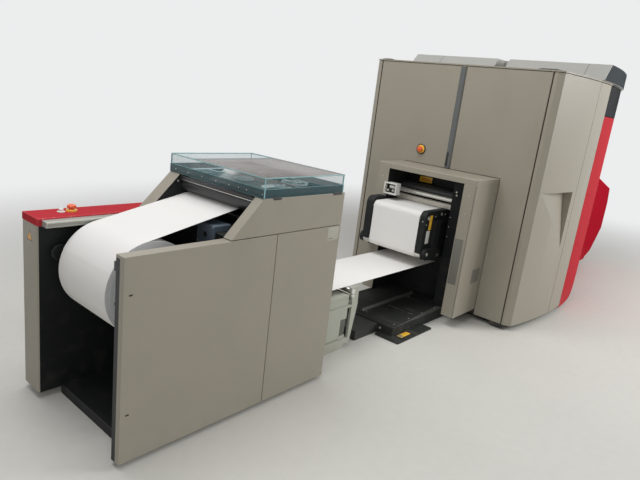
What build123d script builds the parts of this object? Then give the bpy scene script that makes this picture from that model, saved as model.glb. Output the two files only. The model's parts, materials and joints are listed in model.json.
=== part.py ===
"""Digital production press: reel unwinder, web run and printing tower, in millimetres.

X runs along the paper, +Y is the side away from the aisle, Z is up. The origin lies on the
floor, under the middle of the paper web, 960 mm behind the front of the printing tower.
"""
import os
from math import acos, atan2, cos, hypot, radians, sin, sqrt

from build123d import *

os.makedirs("parts", exist_ok=True)

# Paper and its rollers
WEB_WIDTH = 498.0
WEB_THICK = 2.0
WEB_Z = 494.0                     # height of the free run between the two units
WEB_BEND = 49.0                   # middle radius of the sheet round a roller
WEB_SIDE = 7.0                    # between the sheet's edge and a wall beside it
WEB_SLOT = 12.0                   # half height of a slot that the sheet passes
WEB_LEAD = 110.0                  # free run's start inside the unwinder
RUN_GAP = 0.3                     # between a roller and its paper, and at a journal
END_GAP = 6.0                     # between the end of a roller and its wall
PIN_R, PIN_DEPTH = 10.0, 12.0
HALF_WEB = WEB_WIDTH / 2
ROLLER_R = WEB_BEND - WEB_THICK / 2 - RUN_GAP

# Unwinder walls
UW_REAR, UW_LENGTH = -3020.0, 1523.0
UW_HALF, UW_WALL, REAR_WALL = 516.0, 70.0, 20.0
UW_BOTTOM, UW_WAIST, CHEEK_HEIGHT = 25.0, 1100.0, 215.0
REAR_PANEL, SEAM = 570.0, 4.0
FAR_SPACE, FAR_LEAD, FAR_BOTTOM, FAR_DROP, RED_CAP = 72.0, 25.0, 40.0, 60.0, 42.0
SHELF_WIDE, SHELF_THICK, SHELF_RISE, SHELF_BACK = 59.0, 36.0, 34.0, 30.0
CHEEK_START, CHEEK_RUN, CHEEK_WIDE = 608.0, 213.0, 106.0
WALL_BEVEL, CAP_BEVEL, SHELF_BEVEL = 8.0, 4.0, 6.0
BASE_START, BASE_HEIGHT, CORE_SPACE = 103.0, 60.0, 113.0
SHELL_BOTTOM, SLOT_WIDE, SLOT_DEEP, OUT_SLOT = 540.0, 18.0, 142.0, 140.0
ENTRY_BACK, ENTRY_RISE, INNER_BACK, INNER_RISE, DIVE_DEPTH = 295.0, 103.0, 340.0, 63.0, 122.0
UW_FRONT = UW_REAR - UW_LENGTH
UW_TOP = UW_WAIST + CHEEK_HEIGHT
NEAR_IN = UW_WALL - UW_HALF
FAR_IN = HALF_WEB + FAR_SPACE
FAR_TOP = UW_WAIST - FAR_DROP
CAP_TOP = FAR_TOP + RED_CAP
CHEEK_LOW_X = UW_FRONT + CHEEK_START
CHEEK_TOP_X = CHEEK_LOW_X + CHEEK_RUN
FAR_CHEEK = (HALF_WEB + WEB_SIDE, HALF_WEB + WEB_SIDE + CHEEK_WIDE)

# Reel and its chucks
REEL_START, REEL_Z, REEL_R, CORE_R = 318.0, 805.0, 262.0, 45.0
CORE_PROUD, SHAFT_R, SHAFT_IN = 14.0, 20.0, 26.5
ARM_THICK, ARM_R, ARM_END_R, ARM_REACH, ARM_RISE = 36.0, 75.0, 45.0, 235.0, 85.0
REEL_X = UW_FRONT + REEL_START
CORE_FRONT = REEL_X + REEL_R + CORE_SPACE

# Clear cover
COVER_RAIL, RAIL_LEG, RAIL_FOOT = 50.0, 8.0, 30.0
COVER_PANE, PANE_THICK, LID_FAR = 65.0, 6.0, 130.0

# Guide cabinet behind the unwinder
GUIDE_FRONT, GUIDE_REAR, GUIDE_HEIGHT = UW_REAR - REAR_WALL, -2520.0, WEB_Z - 58
GUIDE_SIDE, POST_THICK, POST_IN = 51.0, 20.0, 43.0
GUIDE_R, GUIDE_X = 22.0, -2494.0
GUIDE_BEAMS = ((33.0, 43.0, 88.0), (94.0, 344.0, 362.0), (-19.0, 432.0, 450.0))
RECESS_DEEP, RECESS_IN, RECESS_LOW, RECESS_TOP = 69.0, 30.0, 115.0, 251.0

# Step platform
STEP_FRONT, STEP_NEAR, STEP_FAR, STEP_HEIGHT = -2025.0, -433.0, 290.0, 92.0
STEP_EDGE, STEP_SINK, STEP_BAND = 16.0, 6.0, 78.0
RAIL_R, RAIL_Y, RAIL_Z, RAIL_START, RAIL_LONG, STAY = 16.0, -70.0, 118.0, 49.0, 796.0, 30.0
FOOT_LEAD, FOOT_BACK, FOOT_OUT, FOOT_IN, FOOT_THICK = 62.0, 477.0, 102.0, 133.0, 16.0
LOW_STEP, LOW_NEAR, LOW_FAR, LOW_HEIGHT = 309.0, -275.0, 280.0, 80.0

# Tower
TW_FRONT, TW_REAR, TW_MID_Y = -960.0, 990.0, -62.0
SIDE_R, HALF_MAX, CREST_X = 4484.0, 1025.4, -65.0
CORNER_IN, CORNER_RUN = 134.4, 31.0
CORNER_HALF = HALF_MAX - CORNER_IN
TW_BOTTOM, PLINTH_IN = 50.0, 90.0
SLAB_GAP, SLAB_THICK, SLAB_OUT = 5.0, 12.0, 5.0
CROWN_TOP, CROWN_OUT, CROWN_LOW_X, CROWN_TOP_X = 2465.0, 20.0, -210.0, -70.0
ROOF_RISE, WINDOW_HIGH = 170.0, 288.0     # crown's top above the walls, window band
TW_TOP = CROWN_TOP - ROOF_RISE
CROWN_SLOT, CROWN_SLOT_X, CROWN_LIP = 60.0, 120.0, 18.0
RED_CORNER_X, RED_CORNER_Z, RED_CORNER_MID = 570.0, 400.0, (868.0, 0, 140.0)
LEAF, DOOR_GAP = 30.0, 5.0
GREY_END, RED_START, RED_BOTTOM, RED_TOP = -190.0, 150.0, 30.0, TW_TOP - WINDOW_HIGH
NEAR_SEAM_IN, FAR_SEAM_IN, CORNER_GAP = 166.4, 154.4, 8.0
CORNER_SEAM_Y = TW_MID_Y - HALF_MAX + NEAR_SEAM_IN
DOOR_SPLIT_Y, DOOR_FAR_Y = -132.0, TW_MID_Y + HALF_MAX - FAR_SEAM_IN
HINGE_R, HINGE_PIN_R, PIN_REACH, LUG_THICK, LUG_WIDE, LUG_LONG = 9.0, 5.0, 45.0, 25.0, 112.0, 90.0
LUG_OUT, RED_LUG, RED_PIN, BACK_FRAME, SKIN_SEAM = 12.0, 240.0, 165.0, 50.0, 8.0
STRIP_WIDE, STRIP_PROUD = 54.0, 12.0
TUB_WALL, TUB_ROOM = 12.0, 6.0
SLAB_Z = TW_TOP + SLAB_GAP
CROWN_Z = SLAB_Z + SLAB_THICK

# Infeed housing and the loop of paper in it
IN_FRONT, IN_BACK = -1380.0, TW_FRONT + LEAF + DOOR_GAP
IN_NEAR, IN_COLUMN, IN_BOTTOM, IN_TOP, IN_CAP, COLUMN_ROUND = -640.0, 124.0, 100.0, 1353.0, 50.0, 12.0
LOOP_FRONT, LOOP_TOP_Z, TURN_X = -1570.0, 1010.0, -1032.0
LINER_X, FILLER_X = -1010.0, -1200.0
CHEEK_SIDE, CHEEK_THICK, FAR_PLATE, FILLER_SIDE = 8.0, 55.0, 73.0, 86.0
PLATE_BOTTOM, NEAR_TOP, FAR_PLATE_TOP, PLATE_LEAD, PLATE_ROUND = 565.0, 1020.0, 1040.0, 6.0, 60.0
ROLLER_ROOM, LINK_THICK, SEAT_WALL = 7.3, 38.0, 12.0
LINK_LONG, LINK_DROP, LINK_R, LINK_END_R = 191.0, 31.0, 50.0, 58.0
BLOCK_X, BLOCK_Z, BLOCK_THICK = (-1440.0, -1338.0), (667.0, 931.0), 33.0
WELL_X, WELL_Z, WELL_DEEP = (-1297.0, -1111.0), (720.0, 894.0), 15.0
BAR_GAP, BAR_HEIGHT, BAR_X = 5.0, 46.0, (-1190.0, -1130.0)
NIP, NIP_R = (-1160.0, 1100.0), 22.0
DRUM, DRUM_R = (-1088.0, 1131.0), 50.0
IN_NEAR_IN = IN_NEAR + IN_COLUMN
IN_FAR_IN = HALF_WEB + 13.0
IN_FAR = IN_FAR_IN + IN_COLUMN
PLATE_IN = HALF_WEB + CHEEK_SIDE
FILLER_Y = -(HALF_WEB + FILLER_SIDE)

# Rear module
MODULE_NEAR, MODULE_FAR, MODULE_LOW, MODULE_TOP, COVER_THICK = -600.0, 476.0, 60.0, 1450.0, 24.0
MODULE_FOOT_X, MODULE_FOOT_IN = (TW_REAR + 60, 2500.0), 100.0

WIDE = 2 * HALF_MAX               # beyond every part of the press


def box(x0, x1, y0, y1, z0, z1):
    """Box between two corners."""
    return Pos((x0 + x1) / 2, (y0 + y1) / 2, (z0 + z1) / 2) * Box(x1 - x0, y1 - y0, z1 - z0)


def outline(points):
    """X-Z outline as a face that looks along Y."""
    return make_face(Polyline(*[(x, 0, z) for x, z in points], close=True))


def prism(face, y0, y1):
    """Prism along Y over an X-Z face."""
    return Pos(0, y0, 0) * extrude(face, amount=y1 - y0, dir=(0, 1, 0))


def rod(x, z, radius, y0, y1):
    """Round bar along Y."""
    return Pos(x, (y0 + y1) / 2, z) * Rot(90, 0, 0) * Cylinder(radius, y1 - y0)


def upright(x, y, radius, z0, z1):
    """Round bar along Z."""
    return Pos(x, y, (z0 + z1) / 2) * Cylinder(radius, z1 - z0)


def rect(x0, x1, y0, y1):
    """Plan rectangle."""
    return Pos((x0 + x1) / 2, (y0 + y1) / 2) * Rectangle(x1 - x0, y1 - y0)


def standing(face, z0, z1):
    """Prism along Z over a plan face."""
    return Pos(0, 0, z0) * extrude(face, amount=z1 - z0, dir=(0, 0, 1))


def link(ends, y0, y1):
    """Rounded link between circles (x, z, radius), from y0 to y1."""
    face = make_hull([edge for x, z, r in ends for edge in (Pos(x, z) * Circle(r)).edges()])
    return Rot(90, 0, 0) * Pos(0, 0, -y1) * extrude(face, amount=y1 - y0, dir=(0, 0, 1))


def idler(centre, radius, wall0, wall1):
    """Roller between two walls, with a journal in each."""
    body = rod(*centre, radius, wall0 + END_GAP, wall1 - END_GAP)
    return body + rod(*centre, PIN_R, wall0 - PIN_DEPTH, wall1 + PIN_DEPTH)


def journal_hole(centre, wall0, wall1):
    """Bores for the journals of a roller between two walls."""
    return rod(*centre, PIN_R + RUN_GAP, wall0 - PIN_DEPTH - 2, wall1 + PIN_DEPTH + 2)


def plain_roller(centre, radius, wall0, wall1):
    """Roller whose ends run in bearing seats sunk into two walls."""
    return rod(*centre, radius, wall0 - PIN_DEPTH, wall1 + PIN_DEPTH)


def bearing_seat(centre, radius, wall0, wall1):
    """Seats in two walls for the ends of a plain roller."""
    return rod(*centre, radius + RUN_GAP, wall0 - PIN_DEPTH - 2, wall1 + PIN_DEPTH + 2)


def bend_centre(before, corner, after, radius=WEB_BEND):
    """Centre of the arc that rounds a corner of an X-Z path."""
    a = Vector(before[0] - corner[0], before[1] - corner[1]).normalized()
    b = Vector(after[0] - corner[0], after[1] - corner[1]).normalized()
    half_angle = radians(a.get_angle(b)) / 2
    way = (a + b).normalized() * (radius / sin(half_angle))
    return corner[0] + way.X, corner[1] + way.Y


def reel_tangent(corner):
    """Point where the sheet that runs to a corner of its path leaves the top of the reel."""
    radius = REEL_R + RUN_GAP + WEB_THICK / 2
    dx, dz = corner[0] - REEL_X, corner[1] - REEL_Z
    angle = atan2(dz, dx) + acos(radius / hypot(dx, dz))
    return REEL_X + radius * cos(angle), REEL_Z + radius * sin(angle)


def web(points):
    """Sheet of paper along an X-Z path whose corners run round rollers."""
    path = FilletPolyline(*points, radius=WEB_BEND)
    section = trace(path, line_width=WEB_THICK)
    return Rot(90, 0, 0) * extrude(section, amount=HALF_WEB, both=True)


parts = {}

# Unwinder walls
seam_x = UW_REAR - REAR_PANEL
parts["near_front_panel"] = box(UW_FRONT, seam_x, -UW_HALF, NEAR_IN, UW_BOTTOM, UW_WAIST)
parts["near_rear_panel"] = box(seam_x + SEAM, UW_REAR, -UW_HALF, NEAR_IN, UW_BOTTOM, UW_WAIST)


def cheek_face(z_low):
    """Side of the upper housing above a height, with its slanted front."""
    low_x = CHEEK_LOW_X + CHEEK_RUN * (z_low - UW_WAIST) / CHEEK_HEIGHT
    return outline([(low_x, z_low), (CHEEK_TOP_X, UW_TOP), (UW_REAR, UW_TOP), (UW_REAR, z_low)])


near_cheek = prism(cheek_face(UW_WAIST + SEAM), -UW_HALF, NEAR_IN)
far_cheek = prism(cheek_face(CAP_TOP), *FAR_CHEEK)
far_front = UW_FRONT - FAR_LEAD
far_wall = box(far_front, UW_REAR, FAR_IN, UW_HALF, FAR_BOTTOM, FAR_TOP)
parts["far_wall"] = chamfer(far_wall.edges().filter_by(Axis.Z).group_by(Axis.X)[0], WALL_BEVEL)
cap = box(far_front, UW_REAR, FAR_IN, UW_HALF, FAR_TOP, CAP_TOP)
parts["far_wall_cap"] = chamfer(cap.edges().filter_by(Axis.X).group_by(Axis.Z)[-1], CAP_BEVEL)
shelf_top = FAR_TOP + SHELF_RISE
shelf = box(UW_FRONT, CHEEK_LOW_X - SHELF_BACK, FAR_IN - SHELF_WIDE, FAR_IN,
            shelf_top - SHELF_THICK, shelf_top)
parts["control_shelf"] = chamfer(shelf.edges().filter_by(Axis.X).group_by(Axis.Y)[0], SHELF_BEVEL)

# Paper path inside the unwinder
ENTRY_CORNER = (CHEEK_LOW_X + ENTRY_BACK, UW_WAIST + ENTRY_RISE)
INNER_CORNER = (ENTRY_CORNER[0] + INNER_BACK, UW_TOP + INNER_RISE)
DIVE_END = (INNER_CORNER[0], CAP_TOP - DIVE_DEPTH)
UPPER_PATH = [reel_tangent(ENTRY_CORNER), ENTRY_CORNER, INNER_CORNER, DIVE_END]
entry_centre = bend_centre(*UPPER_PATH[0:3])
inner_centre = bend_centre(*UPPER_PATH[1:4])
parts["unwinder_web"] = web(UPPER_PATH)
upper_walls = (NEAR_IN, FAR_CHEEK[0])
parts["entry_roller"] = plain_roller(entry_centre, ROLLER_R, *upper_walls)
parts["inner_roller"] = idler(inner_centre, ROLLER_R, *upper_walls)
seats = bearing_seat(entry_centre, ROLLER_R, *upper_walls) + journal_hole(inner_centre, *upper_walls)
far_cheek -= seats
parts["near_cheek"] = near_cheek - seats

slot_half = HALF_WEB + WEB_SIDE
base_rear = UW_REAR - REAR_WALL
base = box(UW_FRONT + BASE_START, base_rear, NEAR_IN, FAR_IN, 0, BASE_HEIGHT)
base += box(CORE_FRONT, base_rear, NEAR_IN, FAR_IN, BASE_HEIGHT, CAP_TOP)
base -= box(DIVE_END[0] - SLOT_WIDE, DIVE_END[0] + SLOT_WIDE, -slot_half, slot_half,
            CAP_TOP - SLOT_DEEP, CAP_TOP + 10)
base -= box(UW_REAR - OUT_SLOT, UW_REAR, -slot_half, slot_half, WEB_Z - WEB_SLOT, WEB_Z + WEB_SLOT)
parts["unwinder_base"] = base
rear = box(base_rear, UW_REAR, NEAR_IN, FAR_CHEEK[0], SHELL_BOTTOM, UW_TOP)
parts["upper_shell"] = far_cheek + rear

# Reel on its chucks
bore_long = HALF_WEB + 20
parts["paper_reel"] = (rod(REEL_X, REEL_Z, REEL_R, -HALF_WEB, HALF_WEB)
                       - rod(REEL_X, REEL_Z, CORE_R, -bore_long, bore_long))
core_half = HALF_WEB + CORE_PROUD
near_arm_y = (NEAR_IN, NEAR_IN + ARM_THICK)
far_arm_y = (FAR_IN - ARM_THICK, FAR_IN)
shaft = (near_arm_y[1] - SHAFT_IN, far_arm_y[0] + SHAFT_IN)
core = rod(REEL_X, REEL_Z, CORE_R, -core_half, core_half)
parts["reel_core"] = core + rod(REEL_X, REEL_Z, SHAFT_R, *shaft)
bore = rod(REEL_X, REEL_Z, SHAFT_R + RUN_GAP, shaft[0] - 0.5, shaft[1] + 0.5)
arm_ends = [(REEL_X, REEL_Z, ARM_R), (REEL_X - ARM_REACH, REEL_Z + ARM_RISE, ARM_END_R)]
parts["chuck_arm_far"] = link(arm_ends, *far_arm_y) - bore
parts["chuck_arm_near"] = link(arm_ends, *near_arm_y) - bore

# Clear cover on the unwinder
cx0, cx1, cy0, cy1 = CHEEK_TOP_X - 5, base_rear, -UW_HALF, FAR_CHEEK[1]
rail_top = UW_TOP + COVER_RAIL
frame = box(cx0, cx1, cy0, cy1, UW_TOP, rail_top)
for inset, z0 in ((RAIL_LEG, UW_TOP + RAIL_LEG), (RAIL_FOOT, UW_TOP - 1)):
    frame -= box(cx0 + inset, cx1 - inset, cy0 + inset, cy1 - inset, z0, rail_top + 1)
parts["cover_frame"] = frame
pane_top = rail_top + COVER_PANE
lid_z = pane_top - PANE_THICK
px0, px1, py0, py1 = cx0 + 2, cx1 - 2, cy0 + 2, cy1 - 2
pane = box(px0, px1, py0, py1, rail_top, pane_top)
pane -= box(px0 + PANE_THICK, px1 - PANE_THICK, py0 + PANE_THICK, py1 - PANE_THICK, rail_top - 1, lid_z)
pane -= box(cx0 - 9, cx1 + 9, cy0 - 9, LID_FAR, lid_z, pane_top + 1)
parts["cover_panes"] = pane
parts["cover_lid"] = box(cx0, cx1, cy0, LID_FAR - 1, lid_z, pane_top)

# Web between the units and the loop in the infeed housing
turn_z = WEB_Z + 2 * WEB_BEND
LOOP_PATH = [(UW_REAR - WEB_LEAD, WEB_Z), (TURN_X, WEB_Z), (TURN_X, turn_z), (LOOP_FRONT, turn_z),
             (LOOP_FRONT, LOOP_TOP_Z), (TW_FRONT - 5, LOOP_TOP_Z)]
turn_centre = (TURN_X - WEB_BEND, WEB_Z + WEB_BEND)
lower_centre = (LOOP_FRONT + WEB_BEND, turn_z + WEB_BEND)
upper_centre = (LOOP_FRONT + WEB_BEND, LOOP_TOP_Z - WEB_BEND)
parts["press_web"] = web(LOOP_PATH)

# Web guide cabinet behind the unwinder
cab_half = HALF_WEB + GUIDE_SIDE
post_in = HALF_WEB + POST_IN
post_out = post_in + POST_THICK
cab = box(GUIDE_FRONT, GUIDE_REAR, -cab_half, cab_half, 0, GUIDE_HEIGHT)
for reach, z0, z1 in GUIDE_BEAMS:
    cab += box(UW_REAR, GUIDE_REAR + reach, -post_out, post_out, z0, z1)
cab -= box(GUIDE_REAR - RECESS_DEEP, GUIDE_REAR + 1, -cab_half - 1, -cab_half + RECESS_IN,
           RECESS_LOW, RECESS_TOP)
post_face = outline([(-2492, 45), (-2464, 45), (-2414, WEB_Z - 142), (-2425, WEB_Z + 6),
                     (-2515, WEB_Z + 6), (-2486, WEB_Z - 128)])
guide_centre = (GUIDE_X, WEB_Z - WEB_THICK / 2 - RUN_GAP - GUIDE_R)
cab += prism(post_face, -post_out, -post_in) + prism(post_face, post_in, post_out)
parts["guide_frame"] = cab - journal_hole(guide_centre, -post_in, post_in)
parts["guide_roller"] = idler(guide_centre, GUIDE_R, -post_in, post_in)

# Step platform and its rail
step = box(STEP_FRONT, IN_BACK, STEP_NEAR, STEP_FAR, 0, STEP_HEIGHT)
step -= box(STEP_FRONT + STEP_EDGE, IN_BACK - 60, STEP_NEAR + STEP_BAND, STEP_FAR - STEP_EDGE,
            STEP_HEIGHT - STEP_SINK, STEP_HEIGHT + 1)
step += box(STEP_FRONT - FOOT_LEAD, STEP_FRONT + FOOT_BACK, STEP_NEAR - FOOT_OUT, STEP_NEAR + FOOT_IN,
            0, FOOT_THICK)
step += box(STEP_FRONT - LOW_STEP, STEP_FRONT + 12, LOW_NEAR, LOW_FAR, 0, LOW_HEIGHT)
rail_x = STEP_FRONT + RAIL_START
step += Pos(rail_x + RAIL_LONG / 2, RAIL_Y, RAIL_Z) * Rot(0, 90, 0) * Cylinder(RAIL_R, RAIL_LONG)
for x in (rail_x + STAY, rail_x + RAIL_LONG - 2 * STAY):
    step += box(x, x + STAY, RAIL_Y - 12, RAIL_Y + 12, STEP_HEIGHT - STEP_SINK - 4, RAIL_Z)
parts["step_platform"] = step


# Plan of the tower
def half(x):
    """Half width of the tower at a given X; each side is one arc."""
    return HALF_MAX - SIDE_R + sqrt(SIDE_R ** 2 - (x - CREST_X) ** 2)


def side_y(x):
    """Y of the near side at a given X."""
    return TW_MID_Y - half(x)


def tower_face():
    """Plan with two curved sides and two cut front corners."""
    edges, fronts, backs = [], [], []
    for side in (-1, 1):
        corner_x = TW_FRONT + CORNER_RUN
        start = (corner_x, TW_MID_Y + side * half(corner_x))
        fronts.append((TW_FRONT, TW_MID_Y + side * CORNER_HALF))
        backs.append((TW_REAR, TW_MID_Y + side * half(TW_REAR)))
        edges.append(Line(fronts[-1], start))
        edges.append(ThreePointArc(start, (CREST_X, TW_MID_Y + side * HALF_MAX), backs[-1]))
    return make_face([*edges, Line(*fronts), Line(*backs)])


def inset_plan(inset):
    return offset(PLAN, -inset, kind=Kind.INTERSECTION)


PLAN = tower_face()
LEAF_IN = inset_plan(LEAF)
CORE = inset_plan(LEAF + DOOR_GAP)
RING = PLAN - LEAF_IN

hinge_x = TW_FRONT + HINGE_R
hinge_grey = (hinge_x, CORNER_SEAM_Y - HINGE_R)
hinge_front_near = (hinge_x, CORNER_SEAM_Y + CORNER_GAP + HINGE_R)
hinge_front_far = (hinge_x, DOOR_FAR_Y - HINGE_R)
hinge_red = (TW_REAR - LUG_OUT, side_y(TW_REAR - LUG_OUT) + HINGE_R)


def pocket(tip_x, deep_x, z_low, z_top, depth, grow=0.0):
    """Handle recess of a near side door: a triangle that falls in from its slanted edge to a deep corner."""
    triangle = outline([(tip_x, z_top), (deep_x, z_top), (deep_x, z_low)])
    if grow:
        triangle = offset(triangle, grow, kind=Kind.INTERSECTION)
    slope = depth / (z_top - z_low)
    start_z, end_z = z_low - 100, z_top + 60
    way = -1 if deep_x < tip_x else 1
    floor = []
    for x in (tip_x - 60 * way, (tip_x + deep_x) / 2, deep_x + 60 * way):
        fall = depth * ((x - tip_x) / (deep_x - tip_x) - 1) + slope * (start_z - z_low)
        floor.append((x, side_y(x) + fall + grow))
    first, last = floor[0], floor[-1]
    corners = [first, (first[0], -WIDE), (last[0], -WIDE), last]
    section = make_face([ThreePointArc(*floor), Polyline(*corners)])
    length = hypot(1, slope) * (end_z - start_z)
    wedge = Pos(0, 0, start_z) * extrude(section, amount=length, dir=Vector(0, slope, 1).normalized())
    return wedge & prism(triangle, -WIDE, -WIDE / 4)


GREY_POCKET = (-900, -290, 740, 1290, 85)
RED_POCKET = (600, 170, 740, 1235, 60)

# Tower body: core, fixed strips of its skin, roof slab, lugs and hinge pins
near_post = PLAN & rect(GREY_END, RED_START - DOOR_GAP, -WIDE, -WIDE / 4)
far_skin = PLAN & rect(TW_FRONT, RED_START, DOOR_FAR_Y + DOOR_GAP, WIDE)
far_skin -= rect(GREY_END - DOOR_GAP, GREY_END, TW_MID_Y + half(GREY_END) - SKIN_SEAM, WIDE)
far_back = TW_MID_Y + half(TW_REAR) - LEAF
back = rect(TW_REAR - BACK_FRAME, TW_REAR, side_y(TW_REAR) + LEAF + DOOR_GAP, far_back)
fixed_plan = CORE + near_post + far_skin
low_plan = fixed_plan + (LEAF_IN & rect(RED_START, TW_REAR, 0, WIDE)) + back
body = standing(low_plan, TW_BOTTOM, RED_TOP) + standing(fixed_plan, RED_TOP, TW_TOP)
body += standing(CORE, TW_TOP, SLAB_Z) + standing(inset_plan(-SLAB_OUT), SLAB_Z, CROWN_Z)
body += standing(inset_plan(PLINTH_IN), 0, TW_BOTTOM)
body -= pocket(*GREY_POCKET, TUB_WALL + TUB_ROOM)
body -= pocket(*RED_POCKET, TUB_WALL + TUB_ROOM)
lug_z = TW_BOTTOM - DOOR_GAP
lug_x = hinge_x - LUG_OUT
for y0, y1 in ((hinge_grey[1] - LUG_OUT, hinge_front_near[1] + LUG_LONG),
               (hinge_front_far[1] - LUG_LONG, hinge_front_far[1] + LUG_OUT)):
    body += box(lug_x, lug_x + LUG_WIDE, y0, y1, lug_z - LUG_THICK, lug_z)
for hinge in (hinge_grey, hinge_front_near, hinge_front_far):
    body += upright(*hinge, HINGE_PIN_R, lug_z - 5, lug_z + PIN_REACH)
    body += upright(*hinge, HINGE_PIN_R, SLAB_Z - PIN_REACH, SLAB_Z + 2)
x, y = hinge_red
body += box(x - LUG_OUT, x + HINGE_R, y - HINGE_R, y + BACK_FRAME + 10, RED_LUG - LUG_THICK, RED_LUG)
body += upright(x, y, HINGE_PIN_R, RED_LUG - 5, RED_LUG + RED_PIN)
parts["tower_body"] = body


# Doors of the tower
def hinge_bores(hinge, z0, z1):
    """Bores for the pins at the foot and the head of a leaf, up to z0 and from z1."""
    radius = HINGE_PIN_R + RUN_GAP
    return upright(*hinge, radius, 0, z0) + upright(*hinge, radius, z1, TW_TOP + 10)


def front_door(hinge, edge_y, cut_y):
    """Front leaf from its hinge line to an edge, cut out round the infeed housing."""
    y0, y1 = sorted((hinge[1], edge_y))
    plan = rect(TW_FRONT, TW_FRONT + LEAF, y0, y1) + Pos(*hinge) * Circle(HINGE_R)
    leaf = standing(plan, TW_BOTTOM, TW_TOP)
    c0, c1 = sorted((cut_y, edge_y + (1 if edge_y > cut_y else -1)))
    leaf -= box(TW_FRONT - 50, TW_FRONT + 50, c0, c1, 0, IN_TOP + DOOR_GAP)
    return leaf - hinge_bores(hinge, TW_BOTTOM + PIN_REACH, TW_TOP - PIN_REACH)


parts["infeed_door_near"] = front_door(hinge_front_near, DOOR_SPLIT_Y - DOOR_GAP / 2, IN_NEAR - DOOR_GAP)
parts["infeed_door_far"] = front_door(hinge_front_far, DOOR_SPLIT_Y + DOOR_GAP / 2, IN_FAR + DOOR_GAP)
strip_y = DOOR_SPLIT_Y + 4
strip = box(TW_FRONT - STRIP_PROUD, TW_FRONT, strip_y, strip_y + STRIP_WIDE, IN_TOP + 8, TW_TOP - 6)
parts["door_handle_strip"] = chamfer(strip.edges().filter_by(Axis.Z).group_by(Axis.X)[0], WALL_BEVEL)


def side_door(zone, hinge, z0, z1, recess):
    """Curved side leaf over a zone of the skin, with its hinge line and the tub of its handle recess."""
    leaf = standing((RING & zone) + Pos(*hinge) * Circle(HINGE_R), z0, z1)
    leaf += pocket(*recess, TUB_WALL) & standing(PLAN, z0, z1)
    return leaf - pocket(*recess)


grey_zone = rect(TW_FRONT, GREY_END - DOOR_GAP, -WIDE, hinge_grey[1])
grey = side_door(grey_zone, hinge_grey, TW_BOTTOM, TW_TOP, GREY_POCKET)
parts["grey_side_door"] = grey - hinge_bores(hinge_grey, TW_BOTTOM + PIN_REACH, TW_TOP - PIN_REACH)

red_zone = rect(RED_START, hinge_red[0], -WIDE, -WIDE / 4)
red_zone -= rect(TW_REAR - LEAF, TW_REAR, hinge_red[1] + 2 * HINGE_R, 0)
red = side_door(red_zone, hinge_red, RED_BOTTOM, RED_TOP, RED_POCKET)
low_corner = (RED_CORNER_X, 0, RED_BOTTOM)
back_corner = (TW_REAR, 0, RED_CORNER_Z)
below = [back_corner, (WIDE, 0, RED_CORNER_Z), (WIDE, 0, 0), (RED_CORNER_X, 0, 0), low_corner]
corner_face = make_face([ThreePointArc(low_corner, RED_CORNER_MID, back_corner), Polyline(*below)])
red -= prism(corner_face, -WIDE, -WIDE / 4)
red -= hinge_bores(hinge_red, RED_LUG + RED_PIN + 2, RED_TOP - PIN_REACH)
parts["red_side_door"] = red
far_zone = RING & rect(RED_START, TW_REAR, WIDE / 4, WIDE)
parts["far_red_panel"] = standing(far_zone - back, TW_BOTTOM, RED_TOP)

window_z = RED_TOP + DOOR_GAP
window_plan = (PLAN - CORE) & rect(RED_START, TW_REAR, -WIDE, WIDE)
windows = standing(window_plan, window_z, TW_TOP)
parts["window_band"] = windows + upright(*hinge_red, HINGE_PIN_R, window_z - PIN_REACH, window_z + 10)

# Crown of the roof with its slanted front and the slot in its middle
crown = standing(inset_plan(-CROWN_OUT), CROWN_Z, CROWN_TOP)
crown_side = outline([(CROWN_LOW_X, CROWN_Z), (CROWN_TOP_X, CROWN_TOP), (WIDE, CROWN_TOP), (WIDE, CROWN_Z)])
crown &= prism(crown_side, -WIDE, WIDE)
parts["roof_hood"] = crown - box(-WIDE, CROWN_SLOT_X, TW_MID_Y - CROWN_SLOT, TW_MID_Y + CROWN_SLOT,
                                 CROWN_Z + CROWN_LIP, CROWN_TOP + 10)

# Infeed housing
column_top = IN_TOP - IN_CAP


def rounded_front(shape, radius):
    """Rounds the near front upright edge."""
    return fillet(shape.edges().filter_by(Axis.Z).group_by(Axis.X)[0].group_by(Axis.Y)[0], radius)


cap = rounded_front(box(IN_FRONT, IN_BACK, IN_NEAR, IN_FAR, column_top, IN_TOP), COLUMN_ROUND)
parts["infeed_cap"] = chamfer(cap.faces().sort_by(Axis.Z)[-1].edges(), CAP_BEVEL)
bar_z = LOOP_TOP_Z + WEB_THICK / 2 + BAR_GAP
nip_holes = journal_hole(NIP, FILLER_Y, IN_FAR_IN) + journal_hole(DRUM, FILLER_Y, IN_FAR_IN)
turn_seats = bearing_seat(turn_centre, ROLLER_R, -PLATE_IN, IN_FAR_IN)
parts["infeed_column_near"] = rounded_front(
    box(IN_FRONT, IN_BACK, IN_NEAR, IN_NEAR_IN, IN_BOTTOM, column_top), COLUMN_ROUND)
far_column = box(IN_FRONT, IN_BACK, IN_FAR_IN, IN_FAR, IN_BOTTOM, column_top)
parts["infeed_column_far"] = far_column - turn_seats - nip_holes
liner = box(LINER_X, IN_BACK, IN_NEAR_IN, IN_FAR_IN, IN_BOTTOM, column_top)
liner += box(FILLER_X, LINER_X, IN_NEAR_IN, FILLER_Y, IN_BOTTOM, column_top)
liner -= box(LINER_X - 1, IN_BACK - 15, -slot_half, slot_half, LOOP_TOP_Z - WEB_SLOT, LOOP_TOP_Z + WEB_SLOT)
parts["infeed_liner"] = liner - nip_holes


def loop_plate(back_x, y0, y1, top):
    """Plate beside the loop with a rounded upper front corner."""
    plate = box(LOOP_FRONT - PLATE_LEAD, back_x, y0, y1, PLATE_BOTTOM, top)
    return fillet(plate.edges().filter_by(Axis.Y).group_by(Axis.X)[0].group_by(Axis.Z)[-1], PLATE_ROUND)


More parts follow.
